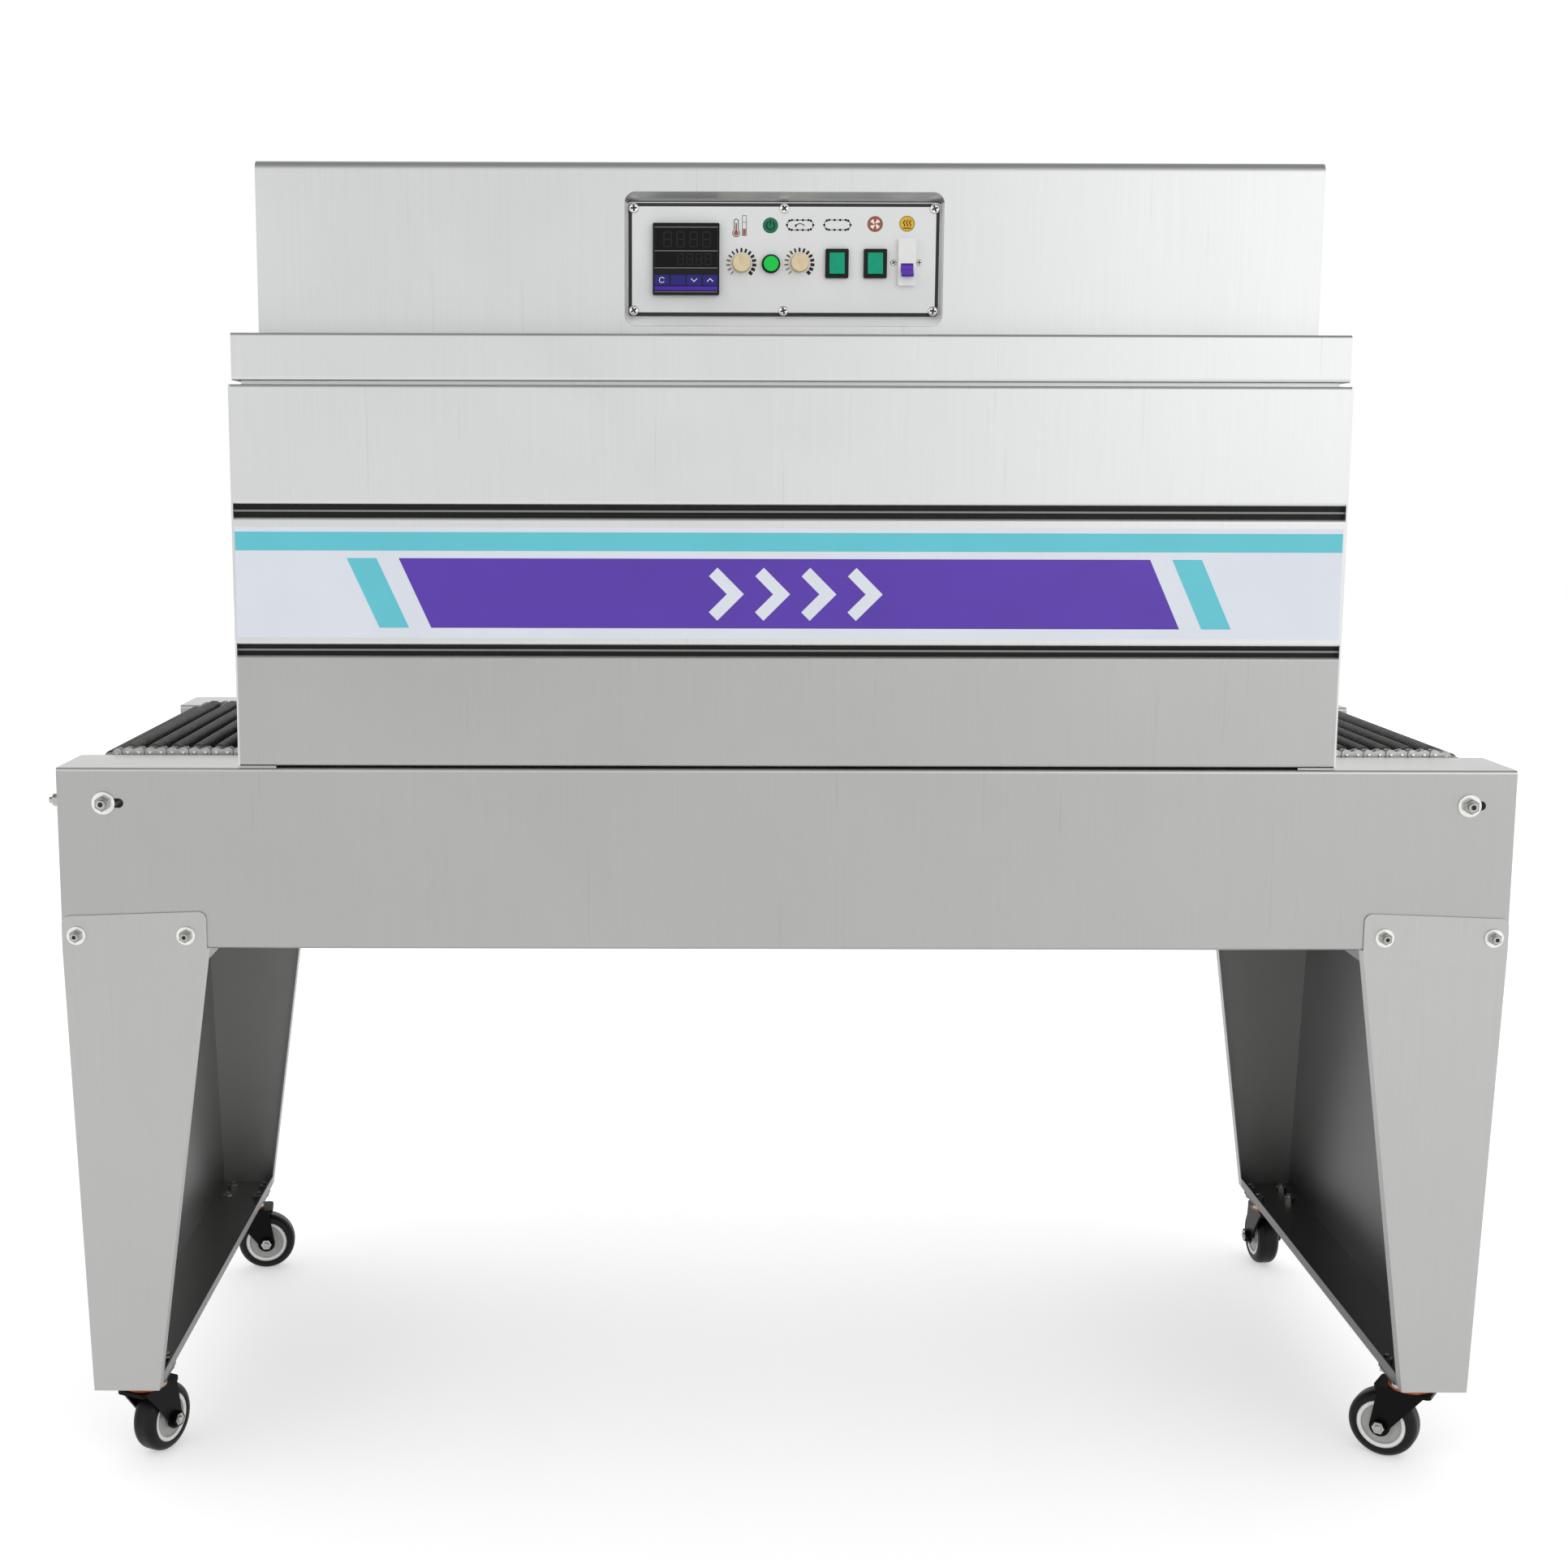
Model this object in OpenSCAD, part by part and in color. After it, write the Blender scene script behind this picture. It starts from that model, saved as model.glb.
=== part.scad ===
// Heat shrink tunnel: a roller-chain conveyor that carries goods through an insulated
// hood, with a control box on top and two folded legs on swivel casters.
// Millimetres, +Z up, +Y to the back. The origin is on the floor under the middle
// of the outer box.

/* [Deck] */
// Length of the deck
deck_len = 1600; // [1400:10:2000]
// Depth of the deck, front to back
deck_w = 720; // [640:5:900]
// Height of the deck's top above the floor
deck_top = 825; // [760:5:950]
// Height of a side rail
rail_h = 202; // [180:1:240]
// Width of a rail's top flange
rail_w = 109; // [95:1:130]
// Depth of the lip on a rail's inner edge
rail_lip = 22; // [18:1:24]
// Width of a rail's bottom flange
rail_foot = 40; // [30:1:60]
// Thickness of the folded sheet
sheet = 2; // [1.5:0.1:2.5]
// Outer radius of a fold
fold_r = 4; // [3:0.5:6]
// Height of the cross members under the conveyor
cross_h = 40; // [30:1:50]
// Width of the cross members
cross_w = 40; // [30:1:60]

/* [Conveyor] */
// Pitch of the roller chain
chain_pitch = 12.7; // [12.5:0.1:13]
// Teeth of a sprocket
sprocket_teeth = 20; // [18:2:22]
// Distance from the deck's end to a shaft, at least
shaft_inset = 50; // [50:1:70]
// Depth of the shafts under the deck's top
shaft_drop = 39; // [36:0.5:42]
// Diameter of a shaft
shaft_d = 20; // [16:1:22]
// Height of a link plate
plate_h = 11.8; // [10.5:0.1:12]
// Thickness of a link plate
plate_t = 1.6; // [1.4:0.1:1.8]
// Diameter of a chain roller
chain_roller_d = 8.5; // [8:0.1:8.9]
// Width between the inner link plates
chain_gap = 7.8; // [7.4:0.1:9]
// Diameter of a chain pin
pin_d = 4.4; // [4:0.1:5]
// Length of a chain pin
pin_len = 17; // [16:0.5:19]
// Gap between a chain and the rail beside it
chain_clear = 5; // [4:0.5:8]
// Diameter of a conveyor roller's sleeve
sleeve_d = 15; // [13:0.5:20]
// Gap between a sleeve's end and the chain
sleeve_clear = 3; // [2:0.5:6]

/* [Hood] */
// Length of the hood
hood_len = 1200; // [1000:10:1300]
// Gap under the hood, which its feet bridge
hood_gap = 2.5; // [2:0.5:6]
// Height of the lower panels
lower_h = 121.5; // [110:0.5:140]
// Height of the groove over the lower panels
low_groove = 11; // [8:0.5:16]
// Height of the middle panels
middle_h = 137.5; // [120:0.5:150]
// Height of the groove over the middle panels
high_groove = 13.5; // [8:0.5:16]
// Height of the upper panels
upper_h = 127; // [110:0.5:150]
// Depth of a panel's folded edges
panel_return = 30; // [20:1:40]
// Depth of the grooves
groove_depth = 9; // [6:0.5:14]
// Clear height of the tunnel over the deck
tunnel_h = 262; // [220:1:280]
// Length of a hood foot
foot_len = 41; // [25:1:60]
// Width of a hood foot
foot_w = 30; // [20:1:40]

/* [Top cover] */
// Gap between the hood and its top cover
cover_gap = 4; // [2:0.5:8]
// Height of the top cover
cover_h = 50; // [40:1:60]
// How far the cover's ends lie inside the hood's
cover_inset = 4; // [2:0.5:10]
// How far the plinth under the cover lies inside it
plinth_inset = 12; // [8:0.5:20]

/* [Control box] */
// Length of the control box
box_len = 1152; // [1000:2:1180]
// Setback of the control box from the hood's front and back
box_setback = 57; // [40:1:90]
// Height of the control box
box_h = 185; // [170:1:220]
// Radius of the bends along the top
box_bend = 11; // [6:0.5:16]
// Length of the recess round the control panel
recess_len = 345; // [335:1:400]
// Height of the recess
recess_h = 142; // [132:1:160]
// Depth of the recess, and the slant of its upper and lower walls
recess_depth = 10; // [8:0.5:14]
// Corner radius of the recess
recess_r = 12; // [6:0.5:16]
// Slant of the recess's left and right walls
recess_side = 3; // [2:0.5:8]

/* [Control panel] */
// Thickness of the panel plate
panel_t = 3; // [2:0.5:4]
// Width of the gasket that shows round the plate
gasket_show = 4; // [1:0.5:5]
// Thickness of the gasket
gasket_t = 1.5; // [1:0.25:2]
// Offset of the panel from the box's middle
panel_x = -6; // [-40:1:40]
// Height of the panel's middle over the top cover
panel_up = 82; // [80:1:100]
// Width of the temperature controller
controller_w = 72; // [66:1:76]
// Height of the temperature controller
controller_h = 76; // [70:1:80]
// Width of the rim round the controller's face
controller_rim = 1.2; // [1:0.2:4]
// Depth of the temperature controller in front of the plate
controller_t = 8; // [6:0.5:12]
// Diameter of a knob
knob_d = 20.5; // [18:0.5:24]
// Height of a knob
knob_h = 14; // [10:0.5:18]
// Diameter of a knob's spindle
spindle_d = 6; // [5:0.5:7]
// Diameter of the push button's cap
button_d = 16; // [14:0.5:18]
// Travel of the push button
button_travel = 3; // [2:0.5:4]
// Width of a rocker
rocker_w = 16.5; // [15:0.5:18]
// Length of a rocker
rocker_len = 23; // [20:0.5:25]
// Turn of a rocker to either side of its middle
rocker_tilt = 8; // [6:1:9]
// Width of a rocker's frame
frame_w = 25; // [23:0.5:27]
// Length of a rocker's frame
frame_len = 31; // [29:0.5:33]
// Height of a rocker's frame
frame_t = 5; // [4.5:0.5:6]
// Width of the circuit breaker
breaker_w = 19; // [18:0.5:20]
// Length of the circuit breaker
breaker_len = 50; // [44:0.5:54]
// Height of the circuit breaker in front of the plate
breaker_t = 8; // [7:0.5:10]
// Width of the breaker's lever
lever_w = 13; // [11:0.5:14]
// Length of the breaker's lever
lever_len = 13; // [10:0.5:15]

/* [Legs] */
// Width of a leg at the deck
leg_top_w = 160; // [140:1:180]
// Width of a leg at the floor end
leg_foot_w = 74; // [70:1:90]
// How far a leg's outer face leans in
leg_lean = 16; // [5:1:30]
// Height of the ears that overlap the deck's face
ear_h = 37; // [32:1:50]
// Rise of an ear's top edge from its outer to its inner corner
ear_rise = 5; // [1:1:10]
// Corner radius of an ear
ear_r = 9; // [4:0.5:12]
// Width of the lips on a leg's inner edges
leg_lip = 15; // [10:1:20]

/* [Casters] */
// Height of a caster under the leg
caster_h = 107; // [104:1:120]
// Distance of the casters' swivels from the front and back faces
caster_inset = 55; // [50:1:80]
// Distance of the casters' swivels from the middle of a leg's foot, inwards
caster_shift = 7; // [0:1:10]
// Diameter of a wheel
wheel_d = 80; // [74:1:82]
// Width of a tyre
tyre_w = 30; // [26:1:34]
// Diameter of a wheel's hub
hub_d = 58; // [50:1:62]
// Distance of the axle behind the swivel
trail = 28; // [20:1:32]
// Side of a caster's top plate
caster_plate = 60; // [54:1:64]
// Heading of the front left caster
heading_fl = 65; // [0:1:360]
// Heading of the front right caster
heading_fr = 146; // [0:1:360]
// Heading of the rear left caster
heading_rl = 8; // [0:1:360]
// Heading of the rear right caster
heading_rr = 93; // [0:1:360]

/* [Fasteners] */
// Diameter of the bolts that hold shafts and legs
bolt_d = 10; // [8:1:12]
// Diameter of their washers
washer_d = 23; // [20:1:26]
// Thickness of a washer
washer_t = 2; // [1.5:0.1:3]
// Width of a nut across its flats
nut_af = 16; // [13:0.5:18]
// Height of a nut
nut_h = 8; // [6:0.5:10]
// How far a bolt stands out of its nut
bolt_out = 3; // [2:0.5:6]
// How far the tension screws stand out of the left end
screw_out = 14; // [10:0.5:20]
// Length of the slots that the shaft bolts sit in
slot_len = 30; // [28:1:44]

/* [Hidden] */
$fn = 48;
// Overlap that keeps cuts clean
eps = 0.02;
// Running gap of a pin in its bore
pin_clear = 0.2;
// Depth of the leg bolts under an ear's top
ear_bolt_drop = 22;
// Seat gap between a chain roller and what carries it
seat_gap = 0.15;
// Gap between neighbouring pieces that slide or turn
slide_gap = 0.3;
// Middle of the deck, shifted so that the tension screws share the outer box
mid_x = screw_out / 2;
front_y = -deck_w / 2;
deck_bottom = deck_top - rail_h;
inner_y = deck_w / 2 - rail_w;
run_links = 2 * floor((deck_len - 2 * shaft_inset) / chain_pitch / 2);
run = run_links * chain_pitch;
pitch_r = chain_pitch / (2 * sin(180 / sprocket_teeth));
shaft_z = deck_top - shaft_drop;
chain_y = inner_y - chain_clear - pin_len / 2;
loop_links = 2 * run_links + sprocket_teeth;
sprocket_w = chain_gap - 2 * slide_gap;
// Height of a sprocket's teeth over the pitch circle
tooth_out = 2.5;
// How much wider than a roller the gap between two teeth is at its mouth, on each side
tooth_flare = 2;
// How far the slots of the left and the right shaft lie to the right of their bolts
slot_ahead = [7, 3];
// Tension screws: distance behind a rail's face, thread, and nut
tension_in = 22;
tension_d = 7;
tension_af = 12;
tension_nut_h = 10;
// How far a hood foot lies behind the hood's face
foot_in = 1;
// Height of a link plate between its pins
waist_h = 0.75 * plate_h;
sleeve_len = 2 * (chain_y - pin_len / 2 - sleeve_clear);
guide_t = 3;
guide_w = chain_gap - 2;
guide_drop = chain_roller_d / 2 + seat_gap;
guide_run = run - 2 * (pitch_r + chain_roller_d);
hood_bottom = deck_top + hood_gap;
middle_z = hood_bottom + lower_h + low_groove;
upper_z = middle_z + middle_h + high_groove;
hood_top = upper_z + upper_h;
cover_z = hood_top + cover_gap;
box_z = cover_z + cover_h;
box_front = front_y + box_setback;
panel_z = box_z + panel_up;
// Gap between the panel's gasket and the walls of the recess
panel_clear = 1;
panel_len = recess_len - 2 * (recess_side + panel_clear + gasket_show);
panel_h = recess_h - 2 * (recess_depth + panel_clear + gasket_show);
plate_front = box_front + recess_depth - gasket_t - panel_t;
leg_h = deck_bottom - caster_h;
leg_x = deck_len / 2;
caster_x = leg_x - leg_lean - leg_foot_w / 2 - caster_shift;
caster_y = deck_w / 2 - caster_inset;
axle_z = wheel_d / 2;
plate_th = 3;
head_h = 10.5;
head_d = 44;
ring_h = 3.5;
ring_d = 50;
ring_gap = 0.5;
// Crown of a fork: thickness, reach behind the swivel and past the axle, corner radius
crown_h = 4.5;
crown_back = 28;
crown_reach = 10;
crown_r = 6;
fork_t = 3;
fork_gap = 2.5;
king_d = 10;
king_nut_af = 16;
king_nut_h = 5;
axle_d = 10;
axle_boss_d = 24;
axle_head_h = 6;
// Wheel centre: step behind the tyre's side, and width of its rim
hub_step = 2;
hub_rim = 5;
crown_top = caster_h - plate_th - head_h - ring_h - ring_gap;
crown_z = crown_top - crown_h;
fork_y = tyre_w / 2 + fork_gap;
// Places of the controls on the panel plate, from its middle
controller_at = [-106, 0];
knob_at = [[-46, -4], [17, -3.5]];
button_at = [-14, -4.5];
rocker_at = [[57.5, -4], [99, -4]];
breaker_at = [133, -2.5];
// Breaker's lever: pivot, tilt at rest, thickness, and the drum that fills its slot
lever_up = -6.5;
lever_pivot = 5.5;
lever_rest = -40;
lever_t = 3.4;
drum_d = 8.8;
// Ribs and pointer of a knob
knob_ribs = 30;
rib_w = 1;
rib_out = 1;
pointer_w = 1.6;
// Depth of the controller's face behind its rim
face_drop = 1;
// Switch frames: bezel, corner radii, pocket floor and pivot pins
bezel_w = 2;
frame_r = 1.5;
pocket_r = 0.5;
pocket_floor = 0.8;
pivot_d = 2;
pivot_drop = 1.6;
pivot_reach = 1.2;
rocker_rise = 2.4;

// Moves what is modelled about the deck's middle to the part's frame.
module machine() translate([mid_x, 0, 0]) children();

// The children, and their mirror image at the back.
module front_and_back() {
  children();
  mirror([0, 1, 0]) children();
}

// The children, and their mirror image at the right-hand end.
module both_ends() {
  children();
  mirror([1, 0, 0]) children();
}

// A profile drawn in Y and Z, pushed out along X about the middle.
module along_x(len) translate([-len / 2, 0, 0]) rotate([90, 0, 90]) linear_extrude(len) children();

// A profile drawn in X and Z, pushed out from y0 to y1.
module along_y(y0, y1) translate([0, y1, 0]) rotate([90, 0, 0]) linear_extrude(y1 - y0) children();

// Rectangle from its lower left corner, with round corners.
module round_rect(w, h, r) {
  translate([r, 0]) square([w - 2 * r, h]);
  translate([0, r]) square([w, h - 2 * r]);
  for (x = [r, w - r], y = [r, h - r]) translate([x, y]) circle(r);
}

// A round-ended slot along X, centred.
module slot(len, h) {
  square([len - h, h], center = true);
  for (x = [-1, 1]) translate([x * (len - h) / 2, 0]) circle(d = h);
}

// The shape that a chain's run encloses at a given distance round the shafts.
module run_outline(r) {
  square([run, 2 * r], center = true);
  for (x = [-1, 1]) translate([x * run / 2, 0]) circle(r);
}

// Place of a chain pin, counted along the loop from the left end of the top run.
function half_loop(i) = i < run_links
  ? [-run / 2 + i * chain_pitch, pitch_r]
  : let (a = 90 - (i - run_links) * 360 / sprocket_teeth)
    [run / 2 + pitch_r * cos(a), pitch_r * sin(a)];
function pin_place(i) = i < loop_links / 2 ? half_loop(i) : -half_loop(i - loop_links / 2);

// Hexagonal nut or bolt head on the Z axis.
module hex_prism(af, h) cylinder(d = af / cos(30), h = h, $fn = 6);

// Washer, nut and bolt end that stand out of a face at the origin, along +Z.
module bolt_end() {
  cylinder(d = washer_d, h = washer_t);
  translate([0, 0, washer_t - eps]) hex_prism(nut_af, nut_h + eps);
  translate([0, 0, washer_t]) cylinder(d = bolt_d, h = nut_h + bolt_out);
}

// Deck

module rail_profile() {
  difference() {
    round_rect(rail_w, rail_h, fold_r);
    translate([sheet, sheet]) round_rect(rail_w - 2 * sheet, rail_h - 2 * sheet, fold_r - sheet + eps);
    translate([rail_w - sheet - eps, -eps]) square([sheet + 1, rail_h - rail_lip]);
    translate([rail_foot, -eps]) square([rail_w, sheet + 1]);
  }
}

module side_rail() {
  difference() {
    union() {
      translate([0, front_y, deck_bottom]) along_x(deck_len) rail_profile();
      for (x = [-1, 1])
        translate([x * (deck_len - sheet) / 2, front_y, deck_bottom])
          along_x(sheet) round_rect(rail_w, rail_h, fold_r);
    }
    for (i = [0, 1])
      translate([(2 * i - 1) * run / 2 + slot_ahead[i], 0, shaft_z])
        along_y(front_y - 1, front_y + sheet + 1) slot(slot_len, bolt_d + 2 * pin_clear);
  }
}

module front_rail() color("silver") machine() side_rail();
module rear_rail() color("silver") machine() mirror([0, 1, 0]) side_rail();

// Tubes across the bottom flanges, with uprights under the return guides.
module deck_cross_members() {
  base = deck_bottom + sheet;
  reach = deck_w / 2 - fold_r - slide_gap;
  upright_top = shaft_z - pitch_r - guide_drop - 2 * guide_t;
  color("gray") machine() for (x = [-1, 0, 1]) translate([x * run / 3, 0, 0]) {
    translate([-cross_w / 2, -reach, base]) cube([cross_w, 2 * reach, cross_h]);
    for (y = [-1, 1])
      translate([-cross_w / 4, y * chain_y - guide_t, base + cross_h - eps])
        cube([cross_w / 2, 2 * guide_t, upright_top - base - cross_h + eps]);
  }
}

// Strip that fits between a chain's plates and carries its rollers, on a shelf.
module guide_profile() {
  translate([-guide_w / 2, -2 * guide_t]) square([guide_w, 2 * guide_t]);
  translate([-guide_w, -2 * guide_t]) square([2 * guide_w, guide_t]);
}

module chain_guides() {
  shelf = inner_y - chain_y;
  color("dimgray") machine() front_and_back() {
    translate([0, -chain_y, shaft_z + pitch_r - guide_drop]) along_x(guide_run) {
      guide_profile();
      translate([-shelf, -2 * guide_t - plate_h / 4]) square([shelf + guide_w, guide_t]);
      translate([-shelf, -rail_lip + guide_t]) square([guide_t / 2, rail_lip - 2 * guide_t]);
    }
    translate([0, -chain_y, shaft_z - pitch_r - guide_drop]) along_x(guide_run) guide_profile();
  }
}

// Gap between two sprocket teeth: a roller's seat at the origin, open along +X.
module tooth_gap() {
  r = chain_roller_d / 2 + seat_gap;
  mouth = 2 * tooth_out;
  circle(r);
  polygon([[0, -r], [mouth, -r - tooth_flare], [mouth, r + tooth_flare], [0, r]]);
}

// Shaft between the rails' faces with a toothed sprocket in each chain.
module sprocket_shaft() {
  along_y(front_y + sheet, -front_y - sheet) circle(d = shaft_d);
  for (y = [-1, 1])
    translate([0, y * chain_y, 0]) along_y(-sprocket_w / 2, sprocket_w / 2) difference() {
      circle(pitch_r + tooth_out);
      for (i = [1 : sprocket_teeth]) rotate(i * 360 / sprocket_teeth)
        translate([pitch_r, 0]) tooth_gap();
    }
}

module infeed_shaft() color("slategray") machine() translate([-run / 2, 0, shaft_z]) sprocket_shaft();
module outfeed_shaft() color("slategray") machine() translate([run / 2, 0, shaft_z]) sprocket_shaft();

module shaft_fixings() {
  color("lightgray") machine() both_ends() front_and_back()
    translate([-run / 2, front_y, shaft_z]) rotate([90, 0, 0]) bolt_end();
}

// Screws through the left end caps that pull the infeed shaft tight.
module tension_screws() {
  color("lightgray") machine() front_and_back()
    translate([-deck_len / 2, front_y + tension_in, shaft_z]) rotate([0, -90, 0]) {
      hex_prism(tension_af, tension_nut_h);
      cylinder(d = tension_d, h = screw_out);
    }
}

// One roller chain: two loops of inner plates joined by a roller at every pin, and an
// outer plate over every second link.
module chain_strand() {
  inner = chain_gap / 2;
  outer = inner + plate_t;
  for (y = [-outer, inner]) along_y(y, y + plate_t) difference() {
    run_outline(pitch_r + waist_h / 2);
    run_outline(pitch_r - waist_h / 2);
  }
  for (i = [0 : loop_links - 1])
    translate([pin_place(i)[0], 0, pin_place(i)[1]]) rotate([90, 0, 0])
      cylinder(d = chain_roller_d, h = chain_gap + 2 * eps, center = true);
  for (i = [0 : 2 : loop_links - 1], y = [-outer - plate_t, outer - eps])
    let (a = pin_place(i), b = pin_place(i + 1), m = (a + b) / 2)
      translate([m[0], y, m[1]]) rotate([0, -atan2(b[1] - a[1], b[0] - a[0]), 0])
        along_y(0, plate_t + eps) slot(chain_pitch + plate_h, plate_h);
}

module front_chain() color("lightsteelblue") machine() translate([0, -chain_y, shaft_z]) chain_strand();
module rear_chain() color("lightsteelblue") machine() translate([0, chain_y, shaft_z]) chain_strand();

// A sleeve on its rod at every second pin of one half of the loop.
module conveyor_rollers(first) {
  for (i = [first : 2 : first + loop_links / 2 - 1])
    translate([pin_place(i)[0], 0, shaft_z + pin_place(i)[1]]) rotate([90, 0, 0]) {
      cylinder(d = sleeve_d, h = sleeve_len, center = true);
      cylinder(d = pin_d, h = 2 * (chain_y - chain_gap / 2 - 2 * plate_t) - seat_gap, center = true);
    }
}

module carrying_rollers() color("dimgray") machine() conveyor_rollers(0);
module return_rollers() color("dimgray") machine() conveyor_rollers(loop_links / 2);

// Hood

// Folded panel: a face with its upper and lower edges turned in.
module hood_panel(z, h) {
  translate([0, front_y, z]) along_x(hood_len - 2 * sheet) difference() {
    round_rect(panel_return + fold_r, h, fold_r);
    translate([sheet, sheet]) round_rect(panel_return + 2 * fold_r, h - 2 * sheet, fold_r - sheet + eps);
    translate([panel_return, -eps]) square([2 * fold_r, h + 1]);
  }
}

module lower_hood_panels() color("silver") machine() front_and_back() hood_panel(hood_bottom, lower_h);
module middle_hood_panels() color("lavender") machine() front_and_back() hood_panel(middle_z, middle_h);
module upper_hood_panels() color("silver") machine() front_and_back() hood_panel(upper_z, upper_h);

// Strip at the bottom of a groove, with a thin rib along its middle.
module joint_strip(z, h) {
  rib = sheet;
  translate([0, front_y + groove_depth, z]) along_x(hood_len - 2 * sheet) {
    square([2 * sheet, h]);
    translate([-groove_depth / 2, (h - rib) / 2]) square([groove_depth / 2 + eps, rib]);
  }
}

module joint_strips() {
  color("dimgray") machine() front_and_back() {
    joint_strip(hood_bottom + lower_h, low_groove);
    joint_strip(middle_z + middle_h, high_groove);
  }
}

// End sheets with the tunnel's mouth cut out of them.
module hood_end_plates() {
  color("silver") machine() both_ends()
    translate([-(hood_len - sheet) / 2, front_y, hood_bottom]) along_x(sheet) difference() {
      square([deck_w, hood_top - hood_bottom]);
      translate([rail_w, -1]) square([2 * inner_y, deck_top + tunnel_h - hood_bottom + 1]);
    }
}

// Side walls and ceiling of the tunnel, folded from one sheet.
module chamber_liner() {
  ceiling = deck_top + tunnel_h - hood_bottom;
  color("gray") machine() translate([0, 0, hood_bottom]) along_x(hood_len - 2 * sheet) difference() {
    translate([-inner_y - sheet, 0]) square([2 * (inner_y + sheet), ceiling + sheet]);
    translate([-inner_y, -1]) square([2 * inner_y, ceiling + 1]);
  }
}

// Small plates that hold the hood off the deck at its corners.
module hood_feet() {
  color("silver") machine() both_ends() front_and_back()
    translate([-hood_len / 2, front_y + foot_in, deck_top]) cube([foot_len, foot_w, hood_gap]);
}

module top_cover() {
  color("gainsboro") machine() {
    translate([0, 0, cover_z]) along_x(hood_len - 2 * cover_inset)
      translate([front_y, 0]) round_rect(deck_w, cover_h, fold_r);
    translate([0, 0, hood_top]) linear_extrude(cover_gap + eps)
      square([hood_len - 2 * plinth_inset, deck_w - 2 * plinth_inset], center = true);
  }
}

// Control box

// Pressed recess with slanted walls, whose floor follows the panel's gasket.
module recess_cut() {
  module layer(side, slant, r, y) translate([-recess_len / 2 + side, y, -recess_h / 2 + slant])
    rotate([90, 0, 0]) linear_extrude(eps) round_rect(recess_len - 2 * side, recess_h - 2 * slant, r);
  translate([panel_x, box_front, panel_z]) hull() {
    layer(-eps, -eps, recess_r, -eps);
    layer(recess_side, recess_depth, fold_r + panel_clear, recess_depth);
  }
}

module control_box() {
  box_w = deck_w - 2 * box_setback;
  color("whitesmoke") machine() difference() {
    translate([0, box_front, box_z]) along_x(box_len) {
      square([box_w, box_h - box_bend]);
      translate([box_bend, 0]) square([box_w - 2 * box_bend, box_h]);
      for (y = [box_bend, box_w - box_bend]) translate([y, box_h - box_bend]) circle(box_bend);
    }
    recess_cut();
  }
}

// Places a control on the panel: X and Y on the plate, +Z out of its face.
module on_panel(at) {
  machine() translate([panel_x + at[0], plate_front, panel_z + at[1]]) rotate([90, 0, 0]) children();
}

module centred_plate(w, h, r, t) linear_extrude(t) translate([-w / 2, -h / 2]) round_rect(w, h, r);

module panel_gasket() {
  color("black") on_panel([0, 0]) translate([0, 0, -panel_t - gasket_t])
    centred_plate(panel_len + 2 * gasket_show, panel_h + 2 * gasket_show, fold_r, gasket_t);
}

module control_panel() {
  color("gainsboro") {
    on_panel([0, 0]) translate([0, 0, -panel_t]) centred_plate(panel_len, panel_h, fold_r, panel_t);
    for (at = knob_at) on_panel(at) translate([0, 0, -eps]) cylinder(d = spindle_d, h = knob_h / 2);
  }
}

module temperature_controller() {
  face = [controller_w - 2 * controller_rim, controller_h - 2 * controller_rim];
  color("black") on_panel(controller_at) difference() {
    centred_plate(controller_w, controller_h, frame_r, controller_t);
    translate([0, 0, controller_t - face_drop]) centred_plate(face[0], face[1], pocket_r, 2 * face_drop);
  }
}

// Ribbed cap with a pointer rib, on its spindle.
module knob(at) {
  core_r = knob_d / 2 - rib_out;
  rib_len = 0.7 * knob_h;
  bore = knob_h / 2 + slide_gap;
  on_panel(at) difference() {
    union() {
      translate([0, 0, slide_gap]) cylinder(r = core_r, h = knob_h - slide_gap);
      for (i = [1 : knob_ribs]) rotate([0, 0, i * 360 / knob_ribs])
        translate([core_r - eps, -rib_w / 2, slide_gap]) cube([rib_out, rib_w, rib_len]);
      translate([-pointer_w / 2, 0, knob_h - rib_out]) cube([pointer_w, core_r, 2 * rib_out]);
    }
    translate([0, 0, -eps]) cylinder(d = spindle_d + 2 * pin_clear, h = bore + eps);
  }
}

module left_knob() color("wheat") knob(knob_at[0]);
module right_knob() color("wheat") knob(knob_at[1]);

// Bezel of the push button and the two rocker frames.
module switch_frames() {
  pocket_w = rocker_w + 2 * slide_gap;
  pocket_len = rocker_len + 4 * slide_gap;
  color("black") {
    on_panel(button_at) difference() {
      cylinder(d = button_d + 2 * bezel_w, h = frame_t);
      translate([0, 0, -eps]) cylinder(d = button_d + 2 * slide_gap, h = frame_t + 2 * eps);
    }
    for (at = rocker_at) on_panel(at) difference() {
      centred_plate(frame_w, frame_len, frame_r, frame_t);
      translate([0, 0, pocket_floor]) centred_plate(pocket_w, pocket_len, pocket_r, frame_t);
      translate([0, 0, frame_t - pivot_drop]) rotate([0, 90, 0])
        cylinder(d = pivot_d + 2 * pin_clear, h = pocket_w + 2 * pivot_reach + 2 * slide_gap, center = true);
    }
  }
}

module push_button() {
  color("limegreen") on_panel(button_at) translate([0, 0, button_travel + slide_gap])
    cylinder(d = button_d, h = frame_t);
}

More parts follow.
